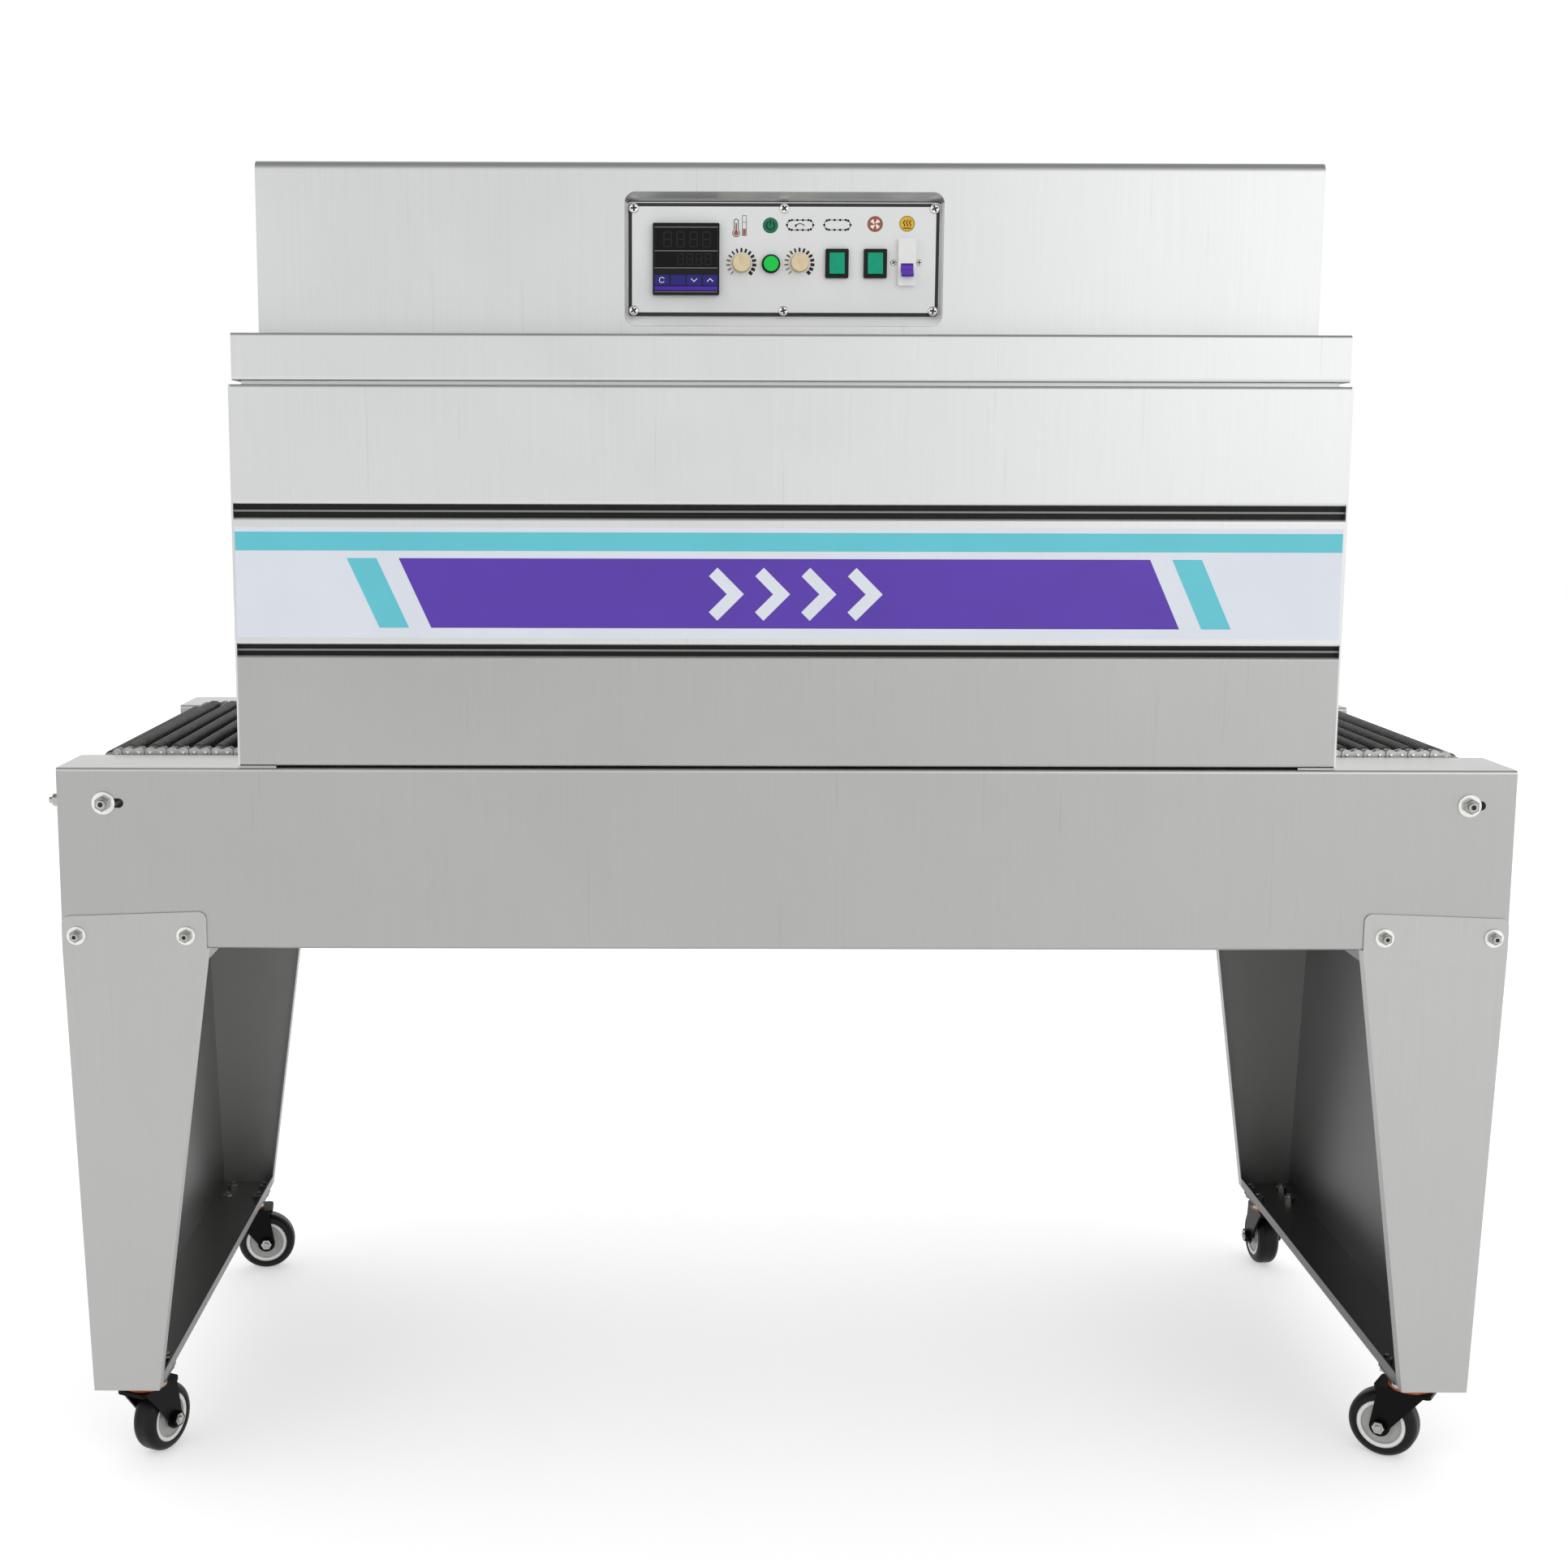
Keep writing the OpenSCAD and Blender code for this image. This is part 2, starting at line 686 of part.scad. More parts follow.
// Rocker with two slanted faces, tilted to its off side on its pivot pin.
module rocker(at) {
  half = rocker_len / 2;
  belly = half / 3;
  on_panel(at) translate([0, 0, frame_t - pivot_drop]) rotate([-rocker_tilt, 0, 0]) {
    translate([-rocker_w / 2, 0, 0]) rotate([90, 0, 90]) linear_extrude(rocker_w) polygon([
      [-half, rocker_rise], [0, rocker_rise / 2], [half, rocker_rise], [half, rocker_rise / 4],
      [belly, -pivot_d / 2], [-belly, -pivot_d / 2], [-half, rocker_rise / 4]
    ]);
    rotate([0, 90, 0]) cylinder(d = pivot_d, h = rocker_w + 2 * slide_gap + 2 * pivot_reach, center = true);
  }
}

module left_rocker() color("mediumseagreen") rocker(rocker_at[0]);
module right_rocker() color("mediumseagreen") rocker(rocker_at[1]);

module breaker_body() {
  pocket_w = lever_w + 2 * slide_gap;
  color("white") on_panel(breaker_at) difference() {
    centred_plate(breaker_w, breaker_len, frame_r, breaker_t);
    translate([0, lever_up, pocket_floor])
      centred_plate(pocket_w, drum_d + 4 * slide_gap, pocket_r, breaker_t);
    translate([0, lever_up, lever_pivot]) rotate([0, 90, 0])
      cylinder(d = pivot_d + 2 * pin_clear, h = pocket_w + 2 * pivot_reach, center = true);
  }
}

module breaker_lever() {
  color("mediumpurple") on_panel(breaker_at)
    translate([0, lever_up, lever_pivot]) rotate([-lever_rest, 0, 0]) {
    rotate([0, 90, 0]) cylinder(d = drum_d, h = lever_w, center = true);
    rotate([0, 90, 0]) cylinder(d = pivot_d, h = lever_w + 2 * pivot_reach, center = true);
    translate([-lever_w / 2, -lever_t / 2, 0]) cube([lever_w, lever_t, lever_len]);
  }
}

// Legs

// Corner points of a leg plate in X and Z, from its outer top corner.
function leg_inner_x(z) = let (k = (deck_bottom - z) / leg_h)
  -leg_x + leg_top_w + k * (leg_lean + leg_foot_w - leg_top_w);
function leg_outer_x(z) = -leg_x + leg_lean * (deck_bottom - z) / leg_h;

// Folded end sheet of a leg: top plate, leaning web and bottom plate, with lips
// that stop short of the ones on the leg's front and rear plates.
module leg_web() {
  z1 = deck_bottom;
  z0 = caster_h;
  lip_y = deck_w / 2 - leg_lip - slide_gap;
  bottom_in = [leg_inner_x(z0 + sheet) - sheet, z0 + sheet];
  top_in = [leg_inner_x(z1 - sheet) - sheet, z1 - sheet];
  inside = [
    bottom_in, [leg_outer_x(z0 + sheet) + sheet, z0 + sheet],
    [leg_outer_x(z1 - sheet) + sheet, z1 - sheet], top_in
  ];
  outside = [[leg_outer_x(z1), z1], [leg_outer_x(z0), z0]];
  for (y = [[front_y, -lip_y], [lip_y, -front_y]]) along_y(y[0], y[1])
    polygon([each outside, [leg_inner_x(z0) - sheet, z0], each inside, [leg_inner_x(z1) - sheet, z1]]);
  along_y(-lip_y, lip_y) polygon([
    each outside, [leg_inner_x(z0), z0], [leg_inner_x(z0 + leg_lip), z0 + leg_lip],
    [leg_inner_x(z0 + leg_lip) - sheet, z0 + leg_lip], each inside,
    [leg_inner_x(z1 - leg_lip) - sheet, z1 - leg_lip], [leg_inner_x(z1 - leg_lip), z1 - leg_lip],
    [leg_inner_x(z1), z1]
  ]);
}

// Front plate of a leg with its ear, and the lip along its inner edge.
module leg_plate() {
  z1 = deck_bottom;
  z0 = caster_h;
  x0 = -leg_x;
  x1 = -leg_x + leg_top_w;
  ear_top = z1 + ear_h;
  along_y(front_y - sheet, front_y) {
    polygon([
      [leg_outer_x(z0), z0], [leg_inner_x(z0), z0], [leg_inner_x(z1), z1],
      [x1, ear_top + ear_rise - ear_r], [x1 - ear_r, ear_top + ear_rise],
      [x0 + ear_r, ear_top], [x0, ear_top - ear_r], [x0, z1]
    ]);
    translate([x0 + ear_r, ear_top - ear_r]) circle(ear_r);
    translate([x1 - ear_r, ear_top + ear_rise - ear_r]) circle(ear_r);
  }
  along_y(front_y - eps, front_y + leg_lip) polygon([
    [leg_inner_x(z0), z0], [leg_inner_x(z1), z1],
    [leg_inner_x(z1) - sheet + slide_gap, z1], [leg_inner_x(z0) - sheet + slide_gap, z0]
  ]);
}

module left_leg_web() color("silver") machine() leg_web();
module right_leg_web() color("silver") machine() mirror([1, 0, 0]) leg_web();
module left_leg_plates() color("lightgray") machine() front_and_back() leg_plate();
module right_leg_plates() color("lightgray") machine() mirror([1, 0, 0]) front_and_back() leg_plate();

module leg_bolts() {
  bolt_z = deck_bottom + ear_h - ear_bolt_drop;
  color("lightgray") machine() both_ends() front_and_back()
    for (x = [nut_af, leg_top_w - washer_d])
      translate([-leg_x + x, front_y - sheet, bolt_z]) rotate([90, 0, 0]) bolt_end();
}

// Casters

// Places a caster's pieces: +X along its trail, on the floor under its swivel.
module at_caster(x, y, heading)
  machine() translate([x * caster_x, y * caster_y, 0]) rotate([0, 0, heading]) children();

module at_every_caster() for (x = [-1, 1], y = [-1, 1]) at_caster(x, y, 0) children();

// Top plate, swivel head and king pin with its nut.
module caster_plates() {
  head_z = caster_h - plate_th - head_h;
  color("gray") at_every_caster() {
    translate([0, 0, caster_h - plate_th]) centred_plate(caster_plate, caster_plate, fold_r, plate_th);
    translate([0, 0, head_z]) cylinder(d = head_d, h = head_h + eps);
    translate([0, 0, crown_z - eps]) cylinder(d = king_d, h = head_z - crown_z + 2 * eps);
    translate([0, 0, crown_z - king_nut_h - slide_gap]) hex_prism(king_nut_af, king_nut_h);
    translate([0, 0, crown_z - slide_gap - eps]) cylinder(d = king_d, h = slide_gap + 2 * eps);
  }
}

module dust_rings() {
  color("chocolate") at_every_caster()
    translate([0, 0, caster_h - plate_th - head_h - ring_h]) difference() {
      cylinder(d = ring_d, h = ring_h);
      translate([0, 0, -1]) cylinder(d = king_d + 2 * pin_clear, h = ring_h + 2);
    }
}

// Pressed fork: a crown over the wheel, two arms that narrow to the axle, and the axle bolt.
module fork() {
  arm_top = crown_z + crown_h / 2;
  crown_len = crown_back + trail + crown_reach;
  crown_w = 2 * (fork_y + fork_t);
  difference() {
    union() {
      translate([-crown_back, -crown_w / 2, crown_z])
        linear_extrude(crown_h) round_rect(crown_len, crown_w, crown_r);
      for (y = [-1, 1]) translate([0, y * (fork_y + fork_t / 2), 0]) along_y(-fork_t / 2, fork_t / 2) {
        polygon([
          [crown_r - crown_back, arm_top], [trail - axle_boss_d / 2, axle_z],
          [trail + axle_boss_d / 2, axle_z], [trail + crown_reach - crown_r, arm_top]
        ]);
        translate([trail, axle_z]) circle(d = axle_boss_d);
      }
      translate([trail, 0, axle_z]) along_y(-fork_y - fork_t, fork_y + fork_t) circle(d = axle_d);
      for (y = [-1, 1])
        translate([trail, y * (fork_y + fork_t - eps), axle_z])
          rotate([-90 * y, 0, 0]) hex_prism(nut_af, axle_head_h);
    }
    translate([0, 0, crown_z - 1]) cylinder(d = king_d + 2 * pin_clear, h = crown_h + 2);
  }
}

// Wheel centre with a dished web, bored for the axle.
module hub() {
  translate([trail, 0, axle_z]) rotate([90, 0, 0]) difference() {
    cylinder(d = hub_d, h = tyre_w - 2 * hub_step, center = true);
    for (z = [-1, 1]) translate([0, 0, z * tyre_w / 2]) difference() {
      cylinder(d = hub_d - 2 * hub_rim, h = tyre_w / 4, center = true);
      cylinder(d = axle_boss_d, h = tyre_w, center = true);
    }
    cylinder(d = axle_d + 2 * pin_clear, h = tyre_w, center = true);
  }
}

// Solid tyre with a rounded tread.
module tyre() {
  tread_r = tyre_w / 3;
  translate([trail, 0, axle_z]) rotate([90, 0, 0]) rotate_extrude($fn = 96) {
    translate([hub_d / 2, -tyre_w / 2]) square([wheel_d / 2 - hub_d / 2 - tread_r, tyre_w]);
    translate([hub_d / 2, -tyre_w / 2 + tread_r]) square([wheel_d / 2 - hub_d / 2, tyre_w - 2 * tread_r]);
    for (y = [-1, 1]) translate([wheel_d / 2 - tread_r, y * (tyre_w / 2 - tread_r)]) intersection() {
      circle(tread_r);
      translate([0, -tread_r]) square([tread_r, 2 * tread_r]);
    }
  }
}

module front_left_fork() color("dimgray") at_caster(-1, -1, heading_fl) fork();
module front_right_fork() color("dimgray") at_caster(1, -1, heading_fr) fork();
module rear_left_fork() color("dimgray") at_caster(-1, 1, heading_rl) fork();
module rear_right_fork() color("dimgray") at_caster(1, 1, heading_rr) fork();
module front_left_hub() color("gainsboro") at_caster(-1, -1, heading_fl) hub();
module front_right_hub() color("gainsboro") at_caster(1, -1, heading_fr) hub();
module rear_left_hub() color("gainsboro") at_caster(-1, 1, heading_rl) hub();
module rear_right_hub() color("gainsboro") at_caster(1, 1, heading_rr) hub();
module front_left_tyre() color("black") at_caster(-1, -1, heading_fl) tyre();
module front_right_tyre() color("black") at_caster(1, -1, heading_fr) tyre();
module rear_left_tyre() color("black") at_caster(-1, 1, heading_rl) tyre();
module rear_right_tyre() color("black") at_caster(1, 1, heading_rr) tyre();

front_rail();
rear_rail();
deck_cross_members();
chain_guides();
infeed_shaft();
outfeed_shaft();
shaft_fixings();
tension_screws();
front_chain();
rear_chain();
carrying_rollers();
return_rollers();
lower_hood_panels();
middle_hood_panels();
upper_hood_panels();
joint_strips();
hood_end_plates();
chamber_liner();
hood_feet();
top_cover();
control_box();
panel_gasket();
control_panel();
temperature_controller();
switch_frames();
breaker_body();
left_knob();
right_knob();
push_button();
left_rocker();
right_rocker();
breaker_lever();
left_leg_web();
right_leg_web();
left_leg_plates();
right_leg_plates();
leg_bolts();
caster_plates();
dust_rings();
front_left_fork();
front_right_fork();
rear_left_fork();
rear_right_fork();
front_left_hub();
front_right_hub();
rear_left_hub();
rear_right_hub();
front_left_tyre();
front_right_tyre();
rear_left_tyre();
rear_right_tyre();
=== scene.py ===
import math

import bpy
from mathutils import Matrix, Vector


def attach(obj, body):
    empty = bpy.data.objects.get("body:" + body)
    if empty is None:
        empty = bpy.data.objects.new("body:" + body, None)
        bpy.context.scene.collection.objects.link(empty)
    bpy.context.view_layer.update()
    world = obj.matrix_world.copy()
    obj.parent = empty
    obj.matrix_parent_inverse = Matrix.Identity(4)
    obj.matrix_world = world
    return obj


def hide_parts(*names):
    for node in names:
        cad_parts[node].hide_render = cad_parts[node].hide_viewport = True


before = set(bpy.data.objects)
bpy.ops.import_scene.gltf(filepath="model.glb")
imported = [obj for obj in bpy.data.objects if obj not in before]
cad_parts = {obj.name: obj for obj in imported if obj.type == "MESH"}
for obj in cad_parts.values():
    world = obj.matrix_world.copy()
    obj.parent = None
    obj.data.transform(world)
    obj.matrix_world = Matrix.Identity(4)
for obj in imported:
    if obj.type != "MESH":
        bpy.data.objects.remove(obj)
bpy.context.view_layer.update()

# Studio stage
# The camera stands a little left of the middle, just above the conveyor, as the
# photograph does. A pale floor, a white sky and three soft boxes light the machine.
photo_px = 1932
focal_px = 2680.64
principal_px = (832.48, 974.53)
camera_place = Vector((-0.1195, -2.716, 1.1604))
camera_yaw, camera_pitch, camera_roll = 0.001914, 0.151449, -0.0024015
forward = Vector((
    math.sin(camera_yaw) * math.cos(camera_pitch),
    math.cos(camera_yaw) * math.cos(camera_pitch),
    -math.sin(camera_pitch),
))
level_right = Vector((math.cos(camera_yaw), -math.sin(camera_yaw), 0))
level_down = forward.cross(level_right)
right = math.cos(camera_roll) * level_right + math.sin(camera_roll) * level_down
down = -math.sin(camera_roll) * level_right + math.cos(camera_roll) * level_down
bpy.ops.object.select_all(action="DESELECT")
bpy.ops.object.camera_add(location=camera_place)
camera = bpy.context.object
camera.name = "photo_camera"
turn = Matrix((right, -down, -forward)).transposed()
camera.matrix_world = Matrix.Translation(camera_place) @ turn.to_4x4()
camera.data.sensor_width = 36
camera.data.lens = focal_px / photo_px * camera.data.sensor_width
camera.data.shift_x = (photo_px / 2 - principal_px[0]) / photo_px
camera.data.shift_y = (principal_px[1] - photo_px / 2) / photo_px
scene = bpy.context.scene
scene.camera = camera
scene.view_settings.view_transform = "Standard"

bpy.ops.mesh.primitive_plane_add(size=30)
floor = bpy.context.object
floor.name = "floor"


def new_material(name):
    """A new material with its nodes, its links and its Principled shader."""
    material = bpy.data.materials.new(name)
    material.use_nodes = True
    nodes, links = material.node_tree.nodes, material.node_tree.links
    return material, nodes, links, nodes["Principled BSDF"]


floor_lift = 0.4
floor_paint, nodes, links, shader = new_material("floor_paint")
shader.inputs["Base Color"].default_value = (0.95, 0.95, 0.95, 1)
shader.inputs["Roughness"].default_value = 0.7
shader.inputs["Emission Color"].default_value = (1, 1, 1, 1)


def seen_directly(nodes, links):
    """1 for camera, glossy and transmission rays, and 0 for the light that falls on things."""
    paths = nodes.new("ShaderNodeLightPath")
    first = nodes.new("ShaderNodeMath")
    first.operation = "MAXIMUM"
    links.new(paths.outputs["Is Camera Ray"], first.inputs[0])
    links.new(paths.outputs["Is Glossy Ray"], first.inputs[1])
    both = nodes.new("ShaderNodeMath")
    both.operation = "MAXIMUM"
    links.new(first.outputs[0], both.inputs[0])
    links.new(paths.outputs["Is Transmission Ray"], both.inputs[1])
    return both.outputs[0]


lift = nodes.new("ShaderNodeMath")
lift.operation = "MULTIPLY"
lift.inputs[1].default_value = floor_lift
links.new(seen_directly(nodes, links), lift.inputs[0])
links.new(lift.outputs[0], shader.inputs["Emission Strength"])
floor.data.materials.append(floor_paint)

sky = bpy.data.worlds.new("studio_sky")
scene.world = sky
sky.use_nodes = True
nodes, links = sky.node_tree.nodes, sky.node_tree.links
nodes.clear()
lit = nodes.new("ShaderNodeBackground")
lit.inputs["Color"].default_value = (1, 1, 1, 1)
lit.inputs["Strength"].default_value = 0.78
shown = nodes.new("ShaderNodeBackground")
heights = nodes.new("ShaderNodeTexCoord")
upward = nodes.new("ShaderNodeSeparateXYZ")
links.new(heights.outputs["Generated"], upward.inputs[0])


def ranged(nodes, links, value, low, high, to_low=0, to_high=1, blend="LINEAR"):
    """What a Map Range node makes of a value: low to high becomes to_low to to_high."""
    scale = nodes.new("ShaderNodeMapRange")
    scale.interpolation_type = blend
    limits = {"From Min": low, "From Max": high, "To Min": to_low, "To Max": to_high}
    for socket, limit in limits.items():
        scale.inputs[socket].default_value = limit
    links.new(value, scale.inputs["Value"])
    return scale.outputs["Result"]


dim_start, dim_end, dim_tone = 0.4, 0.95, 0.3
ceiling = ranged(nodes, links, upward.outputs["Z"], dim_start, dim_end, 1, dim_tone, "SMOOTHSTEP")
links.new(ceiling, shown.inputs["Color"])
mixed = nodes.new("ShaderNodeMixShader")
output = nodes.new("ShaderNodeOutputWorld")
links.new(seen_directly(nodes, links), mixed.inputs[0])
links.new(lit.outputs[0], mixed.inputs[1])
links.new(shown.outputs[0], mixed.inputs[2])
links.new(mixed.outputs[0], output.inputs["Surface"])

soft_boxes = {
    "key_box": ((2.3, -4.0, 2.2), (0.5, 0, 1.0), 2.8, 20),
    "fill_box": ((-2.8, -3.2, 2.4), (0, 0, 1.0), 1.8, 8),
    "back_box": ((0.3, 4.0, 1.9), (0, 0, 0.9), 2.6, 14),
}
for name, (place, target, size, watts) in soft_boxes.items():
    bpy.ops.object.light_add(type="AREA", location=place)
    lamp = bpy.context.object
    lamp.name = name
    lamp.data.size = size
    lamp.data.energy = watts
    lamp.rotation_euler = (Vector(target) - Vector(place)).to_track_quat("-Z", "Y").to_euler()

# Brushed stainless sheet
# Rails, hood, covers, legs and the tunnel's lining are folded from stainless sheet with a
# fine grain, upright on the outer faces. All share its grain, faint wipes and scratches.
grain = bpy.data.node_groups.new("brushed_grain", "ShaderNodeTree")
grain.interface.new_socket("Stretch", in_out="INPUT", socket_type="NodeSocketVector")
grain.interface.new_socket("Grain", in_out="OUTPUT", socket_type="NodeSocketFloat")
grain.interface.new_socket("Wipes", in_out="OUTPUT", socket_type="NodeSocketFloat")
grain.interface.new_socket("Scratches", in_out="OUTPUT", socket_type="NodeSocketFloat")
nodes, links = grain.nodes, grain.links
group_in = nodes.new("NodeGroupInput")
group_out = nodes.new("NodeGroupOutput")
place = nodes.new("ShaderNodeTexCoord")
stretch = nodes.new("ShaderNodeVectorMath")
stretch.operation = "MULTIPLY"
links.new(place.outputs["Object"], stretch.inputs[0])
links.new(group_in.outputs["Stretch"], stretch.inputs[1])
hairs = nodes.new("ShaderNodeTexNoise")
hairs.inputs["Scale"].default_value = 1
hairs.inputs["Detail"].default_value = 4
hairs.inputs["Roughness"].default_value = 0.65
links.new(stretch.outputs[0], hairs.inputs["Vector"])
links.new(hairs.outputs["Fac"], group_out.inputs["Grain"])
wipes = nodes.new("ShaderNodeTexNoise")
wipes.inputs["Scale"].default_value = 4.5
wipes.inputs["Detail"].default_value = 3
wipes.inputs["Distortion"].default_value = 0.8
links.new(place.outputs["Object"], wipes.inputs["Vector"])
links.new(wipes.outputs["Fac"], group_out.inputs["Wipes"])
slant = nodes.new("ShaderNodeMapping")
slant.inputs["Rotation"].default_value = (0, 0.35, 0)
slant.inputs["Scale"].default_value = (260, 260, 5)
links.new(place.outputs["Object"], slant.inputs["Vector"])
lines = nodes.new("ShaderNodeTexNoise")
lines.inputs["Scale"].default_value = 1
lines.inputs["Detail"].default_value = 1
links.new(slant.outputs["Vector"], lines.inputs["Vector"])
scratch_low, scratch_high = 0.735, 0.78
scratches = ranged(nodes, links, lines.outputs["Fac"], scratch_low, scratch_high)
links.new(scratches, group_out.inputs["Scratches"])


def brushed_steel(name, colour, roughness, stretch=(520, 520, 7)):
    """Stainless sheet whose grain runs along the axis with the least stretch."""
    grain_depth, wipe_depth, scratch_depth, gloss_depth = 0.045, 0.05, 0.07, 0.06
    steel, nodes, links, shader = new_material(name)
    shader.inputs["Metallic"].default_value = 1
    marks = nodes.new("ShaderNodeGroup")
    marks.node_tree = grain
    marks.inputs["Stretch"].default_value = stretch
    both = nodes.new("ShaderNodeMath")
    both.operation = "MULTIPLY"
    for index, (effect, deep) in enumerate((("Grain", grain_depth), ("Wipes", wipe_depth))):
        tone = ranged(nodes, links, marks.outputs[effect], 0, 1, 1 - deep, 1 + deep)
        links.new(tone, both.inputs[index])
    scratched = nodes.new("ShaderNodeMath")
    scratched.operation = "MULTIPLY_ADD"
    scratched.inputs[1].default_value = -scratch_depth
    links.new(marks.outputs["Scratches"], scratched.inputs[0])
    links.new(both.outputs[0], scratched.inputs[2])
    sheet_colour = nodes.new("ShaderNodeVectorMath")
    sheet_colour.operation = "SCALE"
    sheet_colour.inputs[0].default_value = colour
    links.new(scratched.outputs[0], sheet_colour.inputs["Scale"])
    links.new(sheet_colour.outputs[0], shader.inputs["Base Color"])
    glossy, matt = roughness - gloss_depth, roughness + gloss_depth
    gloss = ranged(nodes, links, marks.outputs["Wipes"], 0, 1, glossy, matt)
    links.new(gloss, shader.inputs["Roughness"])
    relief = nodes.new("ShaderNodeBump")
    relief.inputs["Strength"].default_value = 0.12
    relief.inputs["Distance"].default_value = 0.0003
    links.new(marks.outputs["Grain"], relief.inputs["Height"])
    links.new(relief.outputs["Normal"], shader.inputs["Normal"])
    return steel


def dress(material, *names):
    """Gives CAD nodes their finish."""
    for name in names:
        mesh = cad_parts[name].data
        mesh.materials.clear()
        mesh.materials.append(material)


# One stainless in lit and shaded copies: the lower hood panels, feet, rails and legs are painted darker,
# about 0.40 to 0.445, as painted shade, and the upper hood, cover and box lighter, 0.62, as painted light.
shaded_deck_steel = brushed_steel("deck_sheet", (0.405, 0.405, 0.40), 0.38)
dress(shaded_deck_steel, "lower_hood_panels", "hood_feet")


def place_along(nodes, links, axis):
    """A point's place along one of its object's axes."""
    place = nodes.new("ShaderNodeTexCoord")
    axes = nodes.new("ShaderNodeSeparateXYZ")
    links.new(place.outputs["Object"], axes.inputs[0])
    return axes.outputs[axis]


rail_steel = brushed_steel("rail_sheet", (0.40, 0.40, 0.395), 0.38)
# Painted sheen: the rails' top faces are painted up to 1.65 times lighter than their sides, standing in
# for the bright low sky they reflect.
edge_low, edge_high, top_sheen_gain = 0.8207, 0.8228, 1.65
nodes, links = rail_steel.node_tree.nodes, rail_steel.node_tree.links
lightening = ranged(nodes, links, place_along(nodes, links, "Z"), edge_low, edge_high, 1, top_sheen_gain)
painted_sheen_colour = nodes.new("ShaderNodeVectorMath")
painted_sheen_colour.operation = "SCALE"
rail_colour = nodes["Principled BSDF"].inputs["Base Color"]
links.new(rail_colour.links[0].from_socket, painted_sheen_colour.inputs[0])
links.new(lightening, painted_sheen_colour.inputs["Scale"])
links.new(painted_sheen_colour.outputs[0], rail_colour)
dress(rail_steel, "front_rail", "rear_rail")


def blended(nodes, links, factor, first, second):
    """A Mix node's colour, first at factor 0 and second at 1, each a colour or a socket."""
    mix = nodes.new("ShaderNodeMix")
    mix.data_type = "RGBA"
    links.new(factor, mix.inputs["Factor"])
    for socket, colour in (("A", first), ("B", second)):
        if isinstance(colour, bpy.types.NodeSocket):
            links.new(colour, mix.inputs[socket])
        else:
            mix.inputs[socket].default_value = (*colour, 1)
    return mix.outputs["Result"]


def leg_steel(name, weights, face, inner_shade):
    """Leg sheet, brushed outside and painted darker inside as painted shade; weights and face give the
    outer plane.
    """
    bright_depth, shade_depth = 0.0008, 0.0012
    steel = brushed_steel(name, (0.445, 0.445, 0.44), 0.40)
    nodes, links = steel.node_tree.nodes, steel.node_tree.links
    shader = nodes["Principled BSDF"]
    place = nodes.new("ShaderNodeTexCoord")
    flat = nodes.new("ShaderNodeVectorMath")
    flat.operation = "ABSOLUTE"
    links.new(place.outputs["Object"], flat.inputs[0])
    depth = nodes.new("ShaderNodeVectorMath")
    depth.operation = "DOT_PRODUCT"
    depth.inputs[1].default_value = weights
    links.new(flat.outputs[0], depth.inputs[0])
    outside = ranged(nodes, links, depth.outputs["Value"], face - shade_depth, face - bright_depth)
    bright = shader.inputs["Base Color"].links[0].from_socket
    shaded_inside = blended(nodes, links, outside, (inner_shade, inner_shade, inner_shade * 0.99), bright)
    links.new(shaded_inside, shader.inputs["Base Color"])
    return steel


web_shift_mm, web_height_mm = 16, 516
lean = web_shift_mm / web_height_mm
web_top = 0.623
# Painted shade: the webs' inner faces are painted dark, the right one darker, and the plates' inner faces
# a little darker.
for side, top_x, inner_shade in (("left", 0.793, 0.22), ("right", 0.807, 0.13)):
    web_steel = leg_steel(side + "_web_sheet", (1, 0, -lean), top_x - web_top * lean, inner_shade)
    dress(web_steel, side + "_leg_web")
leg_front = 0.362
leg_plate_steel = leg_steel("leg_plate_sheet", (0, 1, 0), leg_front, 0.38)
dress(leg_plate_steel, "left_leg_plates", "right_leg_plates")
# Painted light: the upper hood and the control box take the lighter copy.
lit_hood_steel = brushed_steel("hood_sheet", (0.62, 0.625, 0.625), 0.36)
dress(lit_hood_steel, "middle_hood_panels", "upper_hood_panels", "hood_end_plates", "top_cover")
lit_box_steel = brushed_steel("box_sheet", (0.62, 0.625, 0.625), 0.36)
# Painted highlight: inside the pressed recess the box sheet is painted near white and hardly metallic,
# standing in for the light on the recess walls.
recess_middle, recess_half = (0.001, -0.2972, 1.3672), (0.2, 0.0055, 0.0667)
recess_edge_low, recess_edge_high = 0.98, 1.02
recess_painted_light, recess_light_metallic = (0.93, 0.935, 0.935), 0.12
nodes, links = lit_box_steel.node_tree.nodes, lit_box_steel.node_tree.links
place = nodes.new("ShaderNodeTexCoord")
away = nodes.new("ShaderNodeVectorMath")
away.operation = "SUBTRACT"
away.inputs[1].default_value = recess_middle
links.new(place.outputs["Object"], away.inputs[0])
share = nodes.new("ShaderNodeVectorMath")
share.operation = "DIVIDE"
share.inputs[1].default_value = recess_half
links.new(away.outputs[0], share.inputs[0])
flat = nodes.new("ShaderNodeVectorMath")
flat.operation = "ABSOLUTE"
links.new(share.outputs[0], flat.inputs[0])
sides = nodes.new("ShaderNodeSeparateXYZ")
links.new(flat.outputs[0], sides.inputs[0])
wider = nodes.new("ShaderNodeMath")
wider.operation = "MAXIMUM"
links.new(sides.outputs["X"], wider.inputs[0])
links.new(sides.outputs["Y"], wider.inputs[1])
widest = nodes.new("ShaderNodeMath")
widest.operation = "MAXIMUM"
links.new(wider.outputs[0], widest.inputs[0])
links.new(sides.outputs["Z"], widest.inputs[1])
